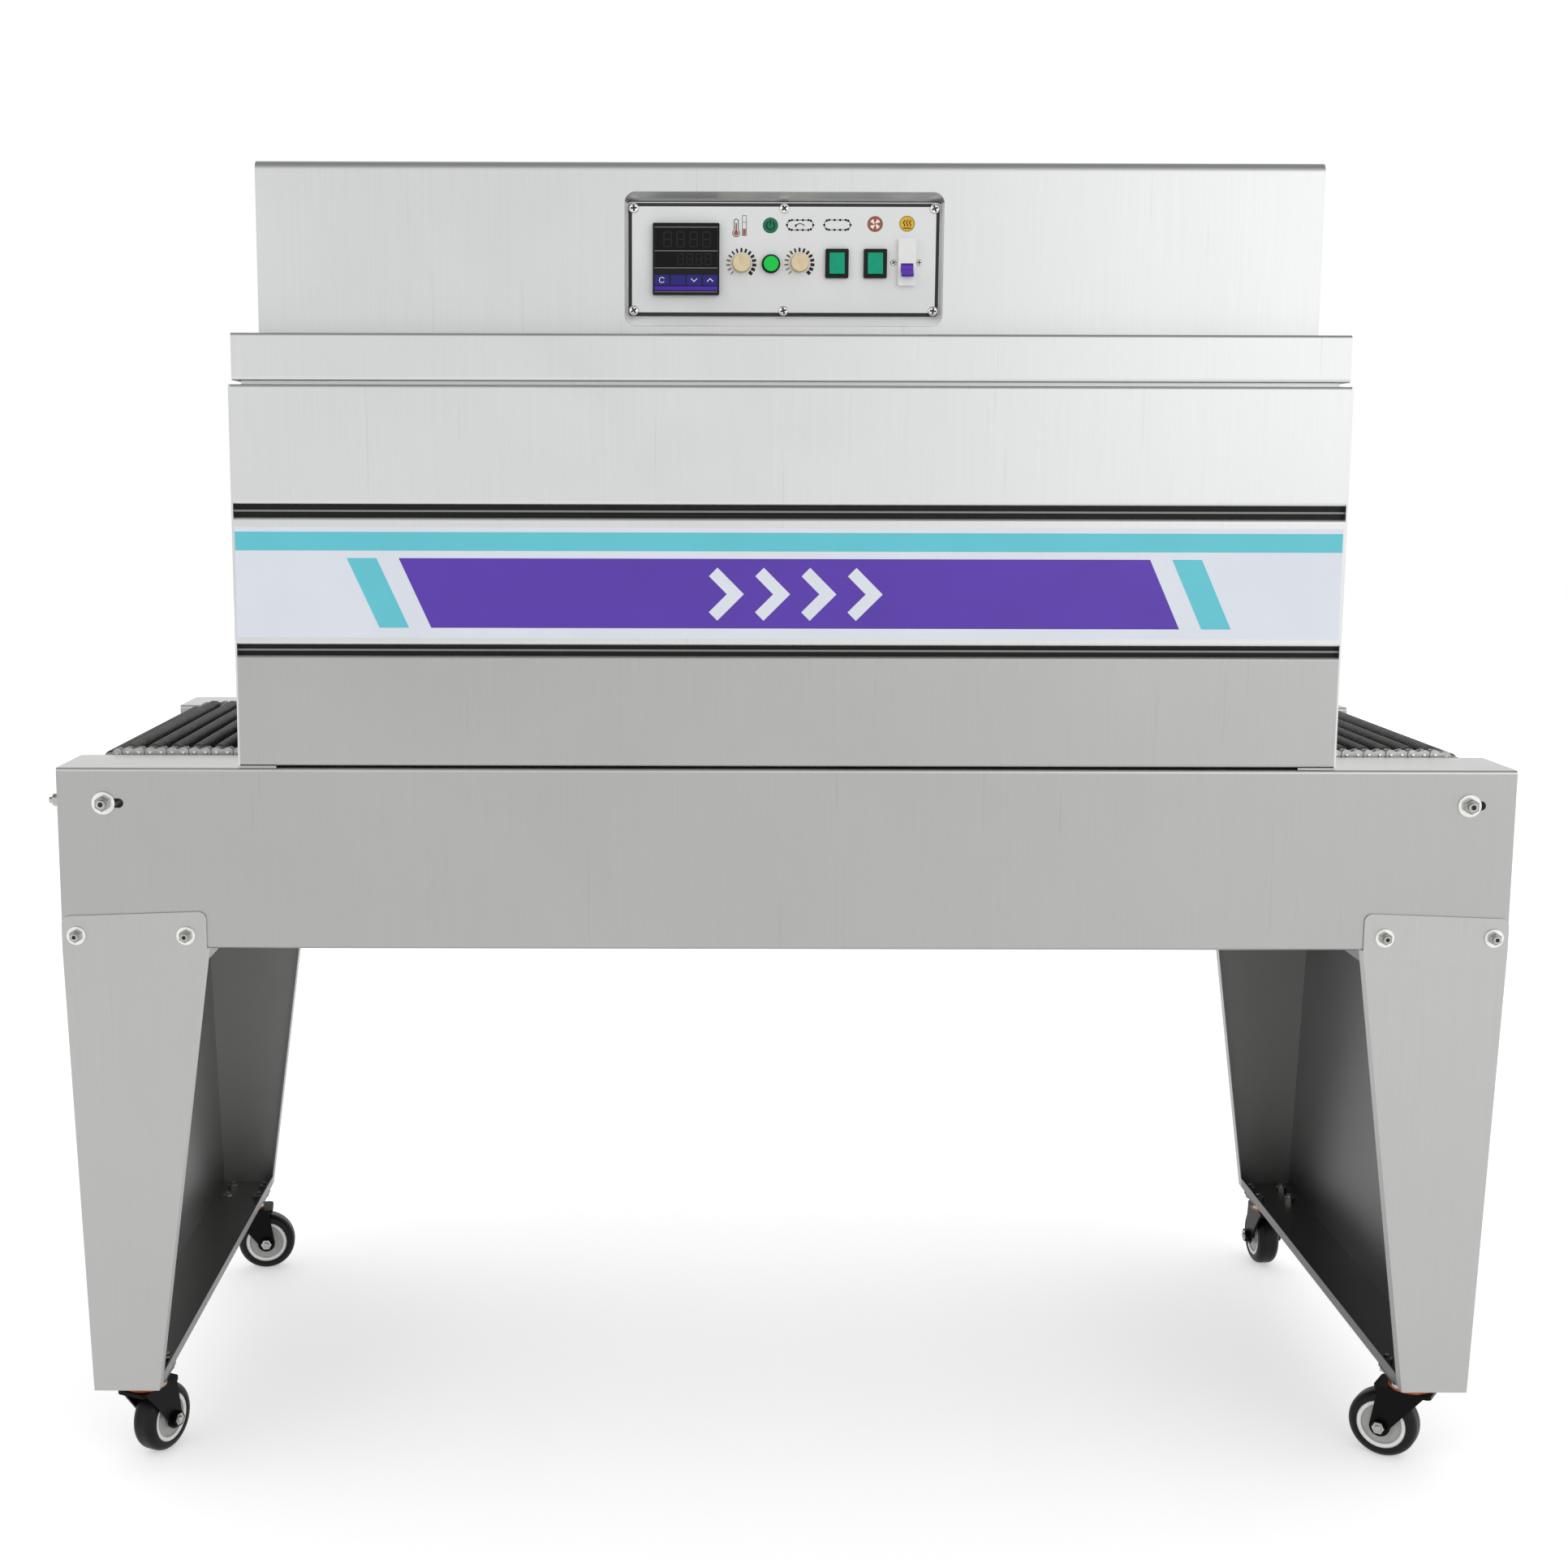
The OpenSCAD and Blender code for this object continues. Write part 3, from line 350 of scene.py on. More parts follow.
recess_light_mask = ranged(nodes, links, widest.outputs[0], recess_edge_low, recess_edge_high, recess_light_metallic, 1)
shader = nodes["Principled BSDF"]
links.new(recess_light_mask, shader.inputs["Metallic"])
sheet_tone = shader.inputs["Base Color"].links[0].from_socket
links.new(blended(nodes, links, recess_light_mask, recess_painted_light, sheet_tone), shader.inputs["Base Color"])
dress(lit_box_steel, "control_box")
liner_steel = brushed_steel("liner_sheet", (0.40, 0.39, 0.38), 0.5, (7, 520, 520))
dress(liner_steel, "chamber_liner")

# Deck fittings
# Cross members and chain guides are plain mild steel, the shafts are bright steel and
# the tension screws are zinc-plated. All of them show faint clouding.
speckle_ratio = 18
mottle = bpy.data.node_groups.new("surface_mottle", "ShaderNodeTree")
mottle.interface.new_socket("Scale", in_out="INPUT", socket_type="NodeSocketFloat")
mottle.interface.new_socket("Cloud", in_out="OUTPUT", socket_type="NodeSocketFloat")
mottle.interface.new_socket("Speckle", in_out="OUTPUT", socket_type="NodeSocketFloat")
nodes, links = mottle.nodes, mottle.links
group_in = nodes.new("NodeGroupInput")
group_out = nodes.new("NodeGroupOutput")
place = nodes.new("ShaderNodeTexCoord")
cloud = nodes.new("ShaderNodeTexNoise")
cloud.inputs["Detail"].default_value = 3
links.new(place.outputs["Object"], cloud.inputs["Vector"])
links.new(group_in.outputs["Scale"], cloud.inputs["Scale"])
links.new(cloud.outputs["Fac"], group_out.inputs["Cloud"])
finer = nodes.new("ShaderNodeMath")
finer.operation = "MULTIPLY"
finer.inputs[1].default_value = speckle_ratio
links.new(group_in.outputs["Scale"], finer.inputs[0])
speckle = nodes.new("ShaderNodeTexNoise")
speckle.inputs["Detail"].default_value = 2
links.new(place.outputs["Object"], speckle.inputs["Vector"])
links.new(finer.outputs[0], speckle.inputs["Scale"])
links.new(speckle.outputs["Fac"], group_out.inputs["Speckle"])


def paint(red, green, blue):
    """A colour as a screen shows it, 0 to 255, in the shader's own linear values."""
    def linear(value):
        value /= 255
        return value / 12.92 if value <= 0.04045 else ((value + 0.055) / 1.055) ** 2.4
    return (linear(red), linear(green), linear(blue))


def clouded(name, colour, roughness, metallic=0, scale=30, spread=0.2, skin=0.05, shine=0.5):
    """Plated, painted or moulded finish with faint clouding and a fine skin."""
    cloud_low, cloud_high, gloss_depth = 0.25, 0.75, 0.05
    material, nodes, links, shader = new_material(name)
    shader.inputs["Metallic"].default_value = metallic
    shader.inputs["Specular IOR Level"].default_value = shine
    marks = nodes.new("ShaderNodeGroup")
    marks.node_tree = mottle
    marks.inputs["Scale"].default_value = scale
    darkest, palest = 1 - spread / 2, 1 + spread / 2
    shade = ranged(nodes, links, marks.outputs["Cloud"], cloud_low, cloud_high, darkest, palest)
    shaded = nodes.new("ShaderNodeVectorMath")
    shaded.operation = "SCALE"
    shaded.inputs[0].default_value = colour
    links.new(shade, shaded.inputs["Scale"])
    links.new(shaded.outputs[0], shader.inputs["Base Color"])
    glossy, matt = roughness - gloss_depth, roughness + gloss_depth
    gloss = ranged(nodes, links, marks.outputs["Speckle"], 0, 1, glossy, matt)
    links.new(gloss, shader.inputs["Roughness"])
    relief = nodes.new("ShaderNodeBump")
    relief.inputs["Strength"].default_value = skin
    relief.inputs["Distance"].default_value = 0.0003
    links.new(marks.outputs["Speckle"], relief.inputs["Height"])
    links.new(relief.outputs["Normal"], shader.inputs["Normal"])
    return material


mild_steel = clouded("mild_steel", paint(96, 96, 94), 0.5, 0.7)
dress(mild_steel, "deck_cross_members", "chain_guides")
bright_steel = clouded("bright_steel", paint(176, 176, 172), 0.32, 1)
dress(bright_steel, "infeed_shaft", "outfeed_shaft")
zinc = clouded("zinc_plate", paint(178, 178, 175), 0.3, 1, 90, 0.3)
dress(zinc, "tension_screws")

# Shaft and leg bolts
# Each end shows a flat washer, a chamfered nut and the end of a socket screw, all
# zinc-plated. They hold the two sprocket shafts in their slots and the legs to the rails.
washer_r, washer_t = 0.0128, 0.002
nut_r, nut_h = 0.0086, 0.007
screw_r, screw_out = 0.0050, 0.004
socket_r, socket_depth = 0.0031, 0.0015
ear_bolt_size = 0.82
# One zinc plating painted in three tones: the washers, and the screw heads that share their finish, paler
# as painted highlight, the nuts darker as painted shade.
lit_washer_zinc = clouded("zinc_washer", paint(224, 224, 221), 0.3, 1, 90, 0.2)
shaded_nut_zinc = clouded("zinc_nut", paint(158, 158, 155), 0.3, 1, 90, 0.25)
# Painted shade: the walls of sockets and cross recesses take this near-black.
recess_shade = clouded("recess_shade", paint(52, 52, 51), 0.5, 0.6)


def turned(name, rings, sides=32):
    """Lathe work along +Z: rings of (radius, height) from the back face to the front one."""
    bpy.ops.object.select_all(action="DESELECT")
    bpy.ops.mesh.primitive_circle_add(vertices=sides, radius=rings[0][0], fill_type="NGON",
                                      location=(0, 0, rings[0][1]))
    piece = bpy.context.object
    piece.name = name
    bpy.ops.object.transform_apply(location=True, rotation=True, scale=True)
    bpy.ops.object.mode_set(mode="EDIT")
    bpy.ops.mesh.select_all(action="SELECT")
    for (radius, height), (next_radius, next_height) in zip(rings, rings[1:]):
        bpy.ops.mesh.extrude_region_move(
            TRANSFORM_OT_translate={"value": (0, 0, next_height - height)})
        ratio = next_radius / radius
        bpy.ops.transform.resize(value=(ratio, ratio, 1), center_override=(0, 0, next_height))
    bpy.ops.mesh.select_all(action="SELECT")
    bpy.ops.mesh.normals_make_consistent(inside=False)
    bpy.ops.object.mode_set(mode="OBJECT")
    return piece


def pick(*pieces):
    """Selects these pieces alone, the first one active."""
    bpy.ops.object.select_all(action="DESELECT")
    for piece in pieces:
        piece.select_set(True)
    bpy.context.view_layer.objects.active = pieces[0]


def settle(piece, place=(0, 0, 0), turn=(0, 0, 0)):
    """Turns a piece, puts it in its place and fixes that place in its mesh."""
    pick(piece)
    piece.location = place
    piece.rotation_euler = turn
    bpy.ops.object.transform_apply(location=True, rotation=True, scale=True)
    return piece


def copies_of(piece, places):
    """Copies of a piece at (place, turn) pairs; the piece itself takes the first one."""
    pieces = [piece]
    for place, turn in places[1:]:
        pick(piece)
        bpy.ops.object.duplicate()
        pieces.append(settle(bpy.context.object, place, turn))
    settle(piece, *places[0])
    return pieces


def joined(name, pieces):
    """One piece of several."""
    pick(*pieces)
    if len(pieces) > 1:
        bpy.ops.object.join()
    piece = bpy.context.object
    piece.name = name
    piece.data.name = name
    return piece


def fitted(piece, body, slot, material, *nodes):
    """Gives a piece its finish, if it has none yet, and hangs it on a body."""
    pick(piece)
    bpy.ops.object.shade_smooth_by_angle(angle=math.radians(35))
    if material:
        piece.data.materials.clear()
        piece.data.materials.append(material)
    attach(piece, body)
    if nodes:
        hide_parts(*nodes)


def carve(piece, tool):
    """Cuts one piece's shape out of another, its new walls painted near black as painted shade, and
    removes the tool.
    """
    tool.data.materials.append(recess_shade)
    cut = piece.modifiers.new("cut", "BOOLEAN")
    cut.operation = "DIFFERENCE"
    cut.solver = "EXACT"
    cut.material_mode = "TRANSFER"
    cut.object = tool
    pick(piece)
    bpy.ops.object.modifier_apply(modifier=cut.name)
    bpy.data.objects.remove(tool)


def bolt_end(size=1):
    """Washer, nut and socket screw end, standing out of a face along +Z."""
    rim = 0.0004
    washer = turned("washer", [
        (washer_r, 0), (washer_r, washer_t - rim), (washer_r - rim, washer_t), (screw_r, washer_t),
    ])
    chamfer = 0.0011
    nut_top = washer_t + nut_h
    nut = turned("nut", [
        (nut_r, washer_t), (nut_r, nut_top - chamfer), (nut_r - chamfer, nut_top), (screw_r, nut_top),
    ], 6)
    screw_top = nut_top + screw_out
    screw = turned("screw", [
        (screw_r, washer_t), (screw_r, screw_top - rim), (screw_r - rim, screw_top),
    ], 18)
    hexagon = turned("socket", [(socket_r, screw_top - socket_depth), (socket_r, screw_top + rim)], 6)
    for piece, finish in ((washer, lit_washer_zinc), (nut, shaded_nut_zinc), (screw, zinc)):
        piece.data.materials.append(finish)
    carve(screw, hexagon)
    bolt = joined("bolt_end", [washer, nut, screw])
    bolt.scale = (size, size, size)
    return settle(bolt)


to_front, to_back = (math.pi / 2, 0, 0), (-math.pi / 2, 0, 0)
shaft_x, shaft_z, face_y = (-0.7423, 0.7563), 0.786, 0.360
shaft_bolts = copies_of(bolt_end(), [
    ((x, side * face_y, shaft_z), to_front if side < 0 else to_back)
    for x in shaft_x for side in (-1, 1)
])
fitted(joined("shaft_bolts", shaft_bolts), "machine", "zinc", None, "shaft_fixings")
ear_x, ear_z, ear_y = (-0.777, -0.656, 0.670, 0.791), 0.638, 0.362
ear_bolts = copies_of(bolt_end(ear_bolt_size), [
    ((x, side * ear_y, ear_z), to_front if side < 0 else to_back)
    for x in ear_x for side in (-1, 1)
])
fitted(joined("ear_bolts", ear_bolts), "machine", "zinc", None, "leg_bolts")

# Roller chains
# Two steel roller chains of half-inch pitch run round the shafts' sprockets. Inner and
# outer plates alternate on pressed pins, with a roller on each pin between the plates.
pitch, teeth, run_links = 0.0127, 20, 118
plate_sides, pin_sides, roller_sides = 20, 10, 12
run = pitch * run_links
wrap_r = pitch / (2 * math.sin(math.pi / teeth))
mid_x, chain_y = 0.007, 0.2375
plate_h, plate_t, plate_step, plate_waist = 0.0118, 0.0015, 0.0017, 0.62
chain_gap, pin_r, pin_len, roller_r = 0.0078, 0.0022, 0.017, 0.00425
inner_y = chain_gap / 2
outer_y = inner_y + plate_step
# Painted tones on one steel: the inner plates are painted darker and the rollers darker still as painted
# shade between the plates; the pins are painted near white as painted highlight.
plate_steel = clouded("chain_plate", paint(190, 190, 188), 0.36, 1, 160, 0.3)
shaded_inner_steel = clouded("chain_inner_plate", paint(168, 168, 166), 0.4, 1, 160, 0.3)
highlit_pin_steel = clouded("chain_pin", paint(244, 244, 242), 0.26, 1, 160, 0.2)
shaded_roller_steel = clouded("chain_roller", paint(84, 84, 82), 0.4, 1, 160, 0.3)


def thickened(piece, step):
    """Draws a flat shape out along a step and turns its faces outwards."""
    pick(piece)
    bpy.ops.object.mode_set(mode="EDIT")
    bpy.ops.mesh.select_all(action="SELECT")
    bpy.ops.mesh.extrude_region_move(TRANSFORM_OT_translate={"value": step})
    bpy.ops.mesh.select_all(action="SELECT")
    bpy.ops.mesh.normals_make_consistent(inside=False)
    bpy.ops.object.mode_set(mode="OBJECT")
    return piece


def link_plate(y, steel):
    """Waisted plate over two pins, the first one at the origin."""
    bpy.ops.object.select_all(action="DESELECT")
    bpy.ops.mesh.primitive_circle_add(vertices=plate_sides, radius=plate_h / 2, fill_type="NGON")
    plate = settle(bpy.context.object, turn=to_front)
    near_middle = plate_h * 0.1
    for vertex in plate.data.vertices:
        if abs(vertex.co.x) < near_middle:
            vertex.co.z *= plate_waist
            vertex.co.x = pitch / 2
        elif vertex.co.x > 0:
            vertex.co.x += pitch
        vertex.co.y = y
    plate.data.materials.append(steel)
    return thickened(plate, (0, plate_t, 0))


def round_bar(length, radius, x, sides, steel):
    """Pin or roller across the chain, with eased rims."""
    ease = radius * 0.25
    bar = turned("round_bar", [
        (radius - ease, -length / 2), (radius, -length / 2 + ease),
        (radius, length / 2 - ease), (radius - ease, length / 2),
    ], sides)
    bar.data.materials.append(steel)
    return settle(bar, (x, 0, 0), to_front)


def chain_link(name, plates, places):
    """Plates at (Y, X, steel), and a pin and a roller at each place along X."""
    pieces = [settle(link_plate(y, steel), (x, 0, 0)) for y, x, steel in plates]
    pieces += [round_bar(pin_len, pin_r, x, pin_sides, highlit_pin_steel) for x in places]
    pieces += [round_bar(chain_gap, roller_r, x, roller_sides, shaded_roller_steel) for x in places]
    return joined(name, pieces)


def plate_pair(y, x, steel):
    """The two plates of a link, one on each side of the rollers."""
    return [(-y - plate_t, x, steel), (y, x, steel)]


def chain_loop(name, y, turn_links):
    """A whole chain: two straight runs by array, and the turns link by link."""
    both_plates = plate_pair(outer_y, 0, plate_steel) + plate_pair(inner_y, pitch, shaded_inner_steel)
    straight = chain_link("link_pair", both_plates, (0, pitch))
    pick(straight)
    array = straight.modifiers.new("run", "ARRAY")
    array.count = run_links // 2
    array.use_relative_offset = False
    array.use_constant_offset = True
    array.constant_offset_displace = (2 * pitch, 0, 0)
    bpy.ops.object.modifier_apply(modifier=array.name)
    settle(straight, (-run / 2, 0, wrap_r))
    both_ends = [((0, 0, 0), (0, 0, 0)), ((0, 0, 0), (0, math.pi, 0))]
    runs = copies_of(straight, both_ends)
    step = 2 * math.pi / teeth
    turns = []
    for link in range(teeth // 2):
        pick(turn_links[link % 2])
        bpy.ops.object.duplicate()
        twin = bpy.context.object
        angle = math.pi / 2 - link * step
        place = (run / 2 + wrap_r * math.cos(angle), 0, wrap_r * math.sin(angle))
        settle(twin, place, (0, step / 2 + link * step, 0))
        turns += copies_of(twin, both_ends)
    loop = joined(name, runs + turns)
    return settle(loop, (mid_x, y, shaft_z))


turn_links = [
    chain_link("turn_link", plate_pair(y, 0, steel), (0,))
    for y, steel in ((outer_y, plate_steel), (inner_y, shaded_inner_steel))
]
for name, y in (("front_chain", -chain_y), ("rear_chain", chain_y)):
    fitted(chain_loop(name + "_links", y, turn_links), "machine", "chain_steel", None, name)
for link in turn_links:
    bpy.data.objects.remove(link)

# Sleeved rollers
# Dark ribbed sleeves turn on steel rods between the two chains, one at every second
# pin. Their ring ribs are just under a centimetre apart.
rib_pitch, rib_low, rib_high = 0.0085, -0.6, 0.2
gloss_low, gloss_high = 0.46, 0.64
sleeve, nodes, links, shader = new_material("ribbed_sleeve")
shader.inputs["Specular IOR Level"].default_value = 0.16
turns = nodes.new("ShaderNodeMath")
turns.operation = "MULTIPLY"
turns.inputs[1].default_value = 2 * math.pi / rib_pitch
links.new(place_along(nodes, links, "Y"), turns.inputs[0])
wave = nodes.new("ShaderNodeMath")
wave.operation = "SINE"
links.new(turns.outputs[0], wave.inputs[0])
crest = ranged(nodes, links, wave.outputs[0], rib_low, rib_high)
# Painted highlight and shade: the rib crests are painted grey and the grooves between them near black.
ribs = blended(nodes, links, crest, paint(6, 6, 6), paint(90, 90, 88))
links.new(ribs, shader.inputs["Base Color"])
marks = nodes.new("ShaderNodeGroup")
marks.node_tree = mottle
marks.inputs["Scale"].default_value = 60
gloss = ranged(nodes, links, marks.outputs["Cloud"], 0, 1, gloss_low, gloss_high)
links.new(gloss, shader.inputs["Roughness"])
relief = nodes.new("ShaderNodeBump")
relief.inputs["Strength"].default_value = 0.8
relief.inputs["Distance"].default_value = 0.0012
links.new(crest, relief.inputs["Height"])
links.new(relief.outputs["Normal"], shader.inputs["Normal"])
dress(sleeve, "carrying_rollers", "return_rollers")

# Panel joints
# Dark strips fill the two grooves between the hood's panels, each with a thin rib
# along its middle.
groove_z = (0.9545, 1.10425)
rib_half, rib_fade = 0.0009, 1.4
strip_steel = clouded("groove_strip", paint(34, 34, 33), 0.42, 0.8)
nodes, links = strip_steel.node_tree.nodes, strip_steel.node_tree.links
level = place_along(nodes, links, "Z")
near_rib = nodes.new("ShaderNodeMath")
near_rib.operation = "MINIMUM"
for index, height in enumerate(groove_z):
    above = nodes.new("ShaderNodeMath")
    above.operation = "SUBTRACT"
    above.inputs[1].default_value = height
    links.new(level, above.inputs[0])
    away = nodes.new("ShaderNodeMath")
    away.operation = "ABSOLUTE"
    links.new(above.outputs[0], away.inputs[0])
    links.new(away.outputs[0], near_rib.inputs[index])
# A paler line along each groove's middle, in colour only.
lightening = ranged(nodes, links, near_rib.outputs[0], rib_half, rib_half * rib_fade, 1, 0)
strip_colour = nodes["Principled BSDF"].inputs["Base Color"]
pale_rib_line = blended(nodes, links, lightening, strip_colour.links[0].from_socket, paint(128, 128, 125))
links.new(pale_rib_line, strip_colour)
dress(strip_steel, "joint_strips")

# Decorative film
# A printed film covers the middle front panel: pale ground, a violet field with slanted
# ends, turquoise stripes over and beside it, and pale marks for the direction of travel.
film_front, film_t = -0.3602, 0.0002
film_low, film_high = (-0.590, 0.968), (0.603, 1.0873)
field_x, field_z, end_slant = (-0.38, 0.43), (0.979, 1.054), -0.034
end_stripes_x, top_stripe_z = ((-0.436, -0.404), (0.454, 0.486)), (1.062, 1.082)
chevron_x = (-0.075, -0.025, 0.025, 0.075)
chevron_z, chevron_reach, chevron_w = 1.016, 0.024, 0.013


def printed(name, outline, front, depth=film_t):
    """A thin shape: an outline in X and Z laid on a face that looks to the front."""
    bpy.ops.object.select_all(action="DESELECT")
    bpy.ops.mesh.primitive_circle_add(vertices=len(outline), radius=1, fill_type="NGON")
    piece = bpy.context.object
    piece.name = name
    for vertex, (x, z) in zip(piece.data.vertices, outline):
        vertex.co = (x, front, z)
    return thickened(piece, (0, -depth, 0))


def rectangle(x0, z0, x1, z1, slant=0):
    """Corners of an upright plate, its top shifted along X by a slant."""
    return [(x0, z0), (x1, z0), (x1 + slant, z1), (x0 + slant, z1)]


def stroke(points, width):
    """Outline of a line of even width along some points, mitred at its corners."""
    left, right, sharpest = [], [], 0.4
    steps = [(Vector(ahead) - Vector(here)).normalized() for here, ahead in zip(points, points[1:])]
    for index, (x, z) in enumerate(points):
        before, after = steps[max(index - 1, 0)], steps[min(index, len(steps) - 1)]
        along = (before + after).normalized()
        reach = width / 2 / max(along.dot(before), sharpest)
        left.append((x - along.y * reach, z + along.x * reach))
        right.append((x + along.y * reach, z - along.x * reach))
    return left + right[::-1]


ground = clouded("film_ground", paint(228, 233, 242), 0.3, 0, 12, 0.05, 0.02)
violet_film = clouded("film_violet", paint(84, 46, 172), 0.3, 0, 9, 0.14, 0.02)
turquoise_film = clouded("film_turquoise", paint(98, 202, 216), 0.3, 0, 12, 0.06, 0.02)
film = printed("film_ground", rectangle(*film_low, *film_high), film_front + film_t)
fitted(film, "machine", "panel_film", ground)


def slanted(x0, x1):
    """Outline as high as the field, with slanted ends."""
    return rectangle(x0, field_z[0], x1, field_z[1], end_slant)


field = printed("film_field", slanted(*field_x), film_front)
fitted(field, "machine", "panel_film", violet_film)
stripe_shapes = [rectangle(film_low[0], top_stripe_z[0], film_high[0], top_stripe_z[1])]
stripe_shapes += [slanted(*ends) for ends in end_stripes_x]
stripes = [printed("film_stripe", shape, film_front) for shape in stripe_shapes]
fitted(joined("film_stripes", stripes), "machine", "panel_film", turquoise_film)
chevrons = []
for x in chevron_x:
    line = [(x, chevron_z + chevron_reach), (x + chevron_reach, chevron_z), (x, chevron_z - chevron_reach)]
    chevrons.append(printed("film_chevron", stroke(line, chevron_w), film_front - film_t))
fitted(joined("film_chevrons", chevrons), "machine", "panel_film", ground)

# Control panel plate
# A pale lacquered plate lies on a dark gasket in the box's pressed recess, held by six
# cross-head screws with domed heads.
panel_x, panel_z, plate_front = 0.001, 1.374, -0.2975
plate_screw, breaker_screw = (0.0053, 0.003), (0.0034, 0.0018)
screw_x, screw_z = 162.6, 54.1
slot_turns = {-1: (0.2, 0.5, 0.9), 1: (0.7, 0.1, 0.4)}
breaker_screw_z, breaker_screw_turns = -2.7, {119: 0.3, 147: 0.8}
dress(clouded("gasket_rubber", paint(34, 34, 34), 0.6, 0, 120, 0.3, 0.3), "panel_gasket")
dress(clouded("plate_lacquer", paint(226, 227, 227), 0.34, 0.15, 25, 0.05, 0.1), "control_panel")


def cross_screw(radius, height):
    """Domed screw head with a cross recess, standing out along +Z."""
    skirt, bends = 0.35, (0.4, 0.8, 1.15)
    blade_long, blade_thin, blade_deep = 1.3, 0.36, 1.3
    dome = [(radius, 0), (radius, height * skirt)]
    dome += [(radius * math.cos(a), height * (skirt + (1 - skirt) * math.sin(a))) for a in bends]
    head = turned("screw_head", dome, 24)
    head.data.materials.append(lit_washer_zinc)
    for turn in (math.pi / 4, -math.pi / 4):
        bpy.ops.object.select_all(action="DESELECT")
        bpy.ops.mesh.primitive_cube_add(size=1, location=(0, 0, height))
        blade = bpy.context.object
        blade.scale = (radius * blade_long, radius * blade_thin, height * blade_deep)
        settle(blade, (0, 0, height), (0, 0, turn))
        carve(head, blade)
    return head


def on_plate(x, z):
    """Place on the plate's face, in millimetres from its middle."""
    return (panel_x + x / 1000, plate_front, panel_z + z / 1000)


plate_screws = copies_of(cross_screw(*plate_screw), [
    (on_plate(column * screw_x, row * screw_z), (math.pi / 2, slot_turns[row][column + 1], 0))
    for row in (-1, 1) for column in (-1, 0, 1)
])
fitted(joined("plate_screws", plate_screws), "machine", "zinc", None)
breaker_screws = copies_of(cross_screw(*breaker_screw), [
    (on_plate(x, breaker_screw_z), (math.pi / 2, turn, 0)) for x, turn in breaker_screw_turns.items()
])
fitted(joined("breaker_screws", breaker_screws), "machine", "zinc", None)

# Marks on the plate
# Plain pictograms are printed over the controls: thermometer, power, conveyor in motion,
# conveyor, fan and heat. Each knob has a ring of ticks that grow towards its high end.
mark_t = 0.00012


def mark(outline, layer=0):
    """Printed shape on the plate, its outline in millimetres from the plate's middle."""
    points = [(panel_x + x / 1000, panel_z + z / 1000) for x, z in outline]
    return printed("mark", points, plate_front - layer * mark_t, mark_t)


def arc(x, z, radius, start, end, steps):
    """Points along a circle, angles in degrees."""
    angles = [math.radians(start + (end - start) * i / steps) for i in range(steps + 1)]
    return [(x + radius * math.cos(a), z + radius * math.sin(a)) for a in angles]


def disc(x, z, radius, steps=28):
    """Outline of a round mark."""
    return arc(x, z, radius, 0, 360 - 360 / steps, steps - 1)


def ticks(x, z):
    """Ring of ticks round a knob, from its low to its high end."""
    count, low_end, sweep = 15, 225, 270
    inner_r, outer_r, thin, growth, curve = 12, 16.4, 0.9, 2.7, 1.1
    shapes = []
    for index in range(count):
        angle = low_end - sweep * index / (count - 1)
        ends = [arc(x, z, radius, angle, angle, 1)[0] for radius in (inner_r, outer_r)]
        shapes.append(stroke(ends, thin + growth * (index / (count - 1)) ** curve))
    return shapes


def conveyor_loop(x, z):
    """Chain loop seen from the side: a thin line with a bead at each pin."""
    half, radius, line_w = 9, 5.2, 0.7
    bead_r, bead_sides, bead_steps = 1.3, 10, (-9, -3, 3, 9)
    line = arc(x + half, z, radius, -90, 90, 10) + arc(x - half, z, radius, 90, 270, 10)
    line.append(line[0])
    places = arc(x + half, z, radius, -60, 60, 2) + arc(x - half, z, radius, 120, 240, 2)
    places += [(x + step, z + side * radius) for step in bead_steps for side in (-1, 1)]
    return [stroke(line, line_w)] + [disc(*place, bead_r, bead_sides) for place in places]


left_knob_at, right_knob_at = (-46, -4), (17, -3.5)
thermometer_at, scale_at, power_at = (-51.8, 35), (-43, 36), (-14.8, 36.3)
moving_at, conveyor_at, fan_at, heat_at = (17.3, 36.8), (57.6, 37), (98.4, 38), (133, 38.4)
disc_r, rim_inset, rim_w = 8.2, 0.2, 0.5


def shifted(place, outline):
    """An outline moved to its place on the plate."""
    return [(place[0] + x, place[1] + z) for x, z in outline]


dark_shapes = ticks(*left_knob_at) + ticks(*right_knob_at)
dark_shapes += conveyor_loop(*moving_at) + conveyor_loop(*conveyor_at)
dark_shapes.append(shifted(moving_at, stroke(arc(0, -5, 6.4, 40, 130, 8), 0.9)))
dark_shapes.append(shifted(moving_at, [(-5.1, -3), (-2.5, 0.8), (-5.9, 0.4)]))
glass = arc(0, 5.6, 2.3, -20, 200, 10) + [(-2.2, -3.6)] + arc(0, -7, 3.8, 130, 410, 16) + [(2.2, 5.6)]
dark_shapes.append(shifted(thermometer_at, stroke(glass, 0.8)))
dark_shapes += [shifted(scale_at, stroke(line, 0.5)) for line in (
    [(-2.2, -10.5), (-2.2, 10.5), (2.2, 10.5), (2.2, -10.5), (-2.2, -10.5)],
    [(-2.2, 3.5), (2.2, 3.5)],
    [(-2.2, -3.5), (2.2, -3.5)],
)]
dark_marks = joined("dark_marks", [mark(shape) for shape in dark_shapes])
ink = clouded("mark_ink", paint(28, 28, 28), 0.45, shine=0.25)
fitted(dark_marks, "machine", "black_plastic", ink)

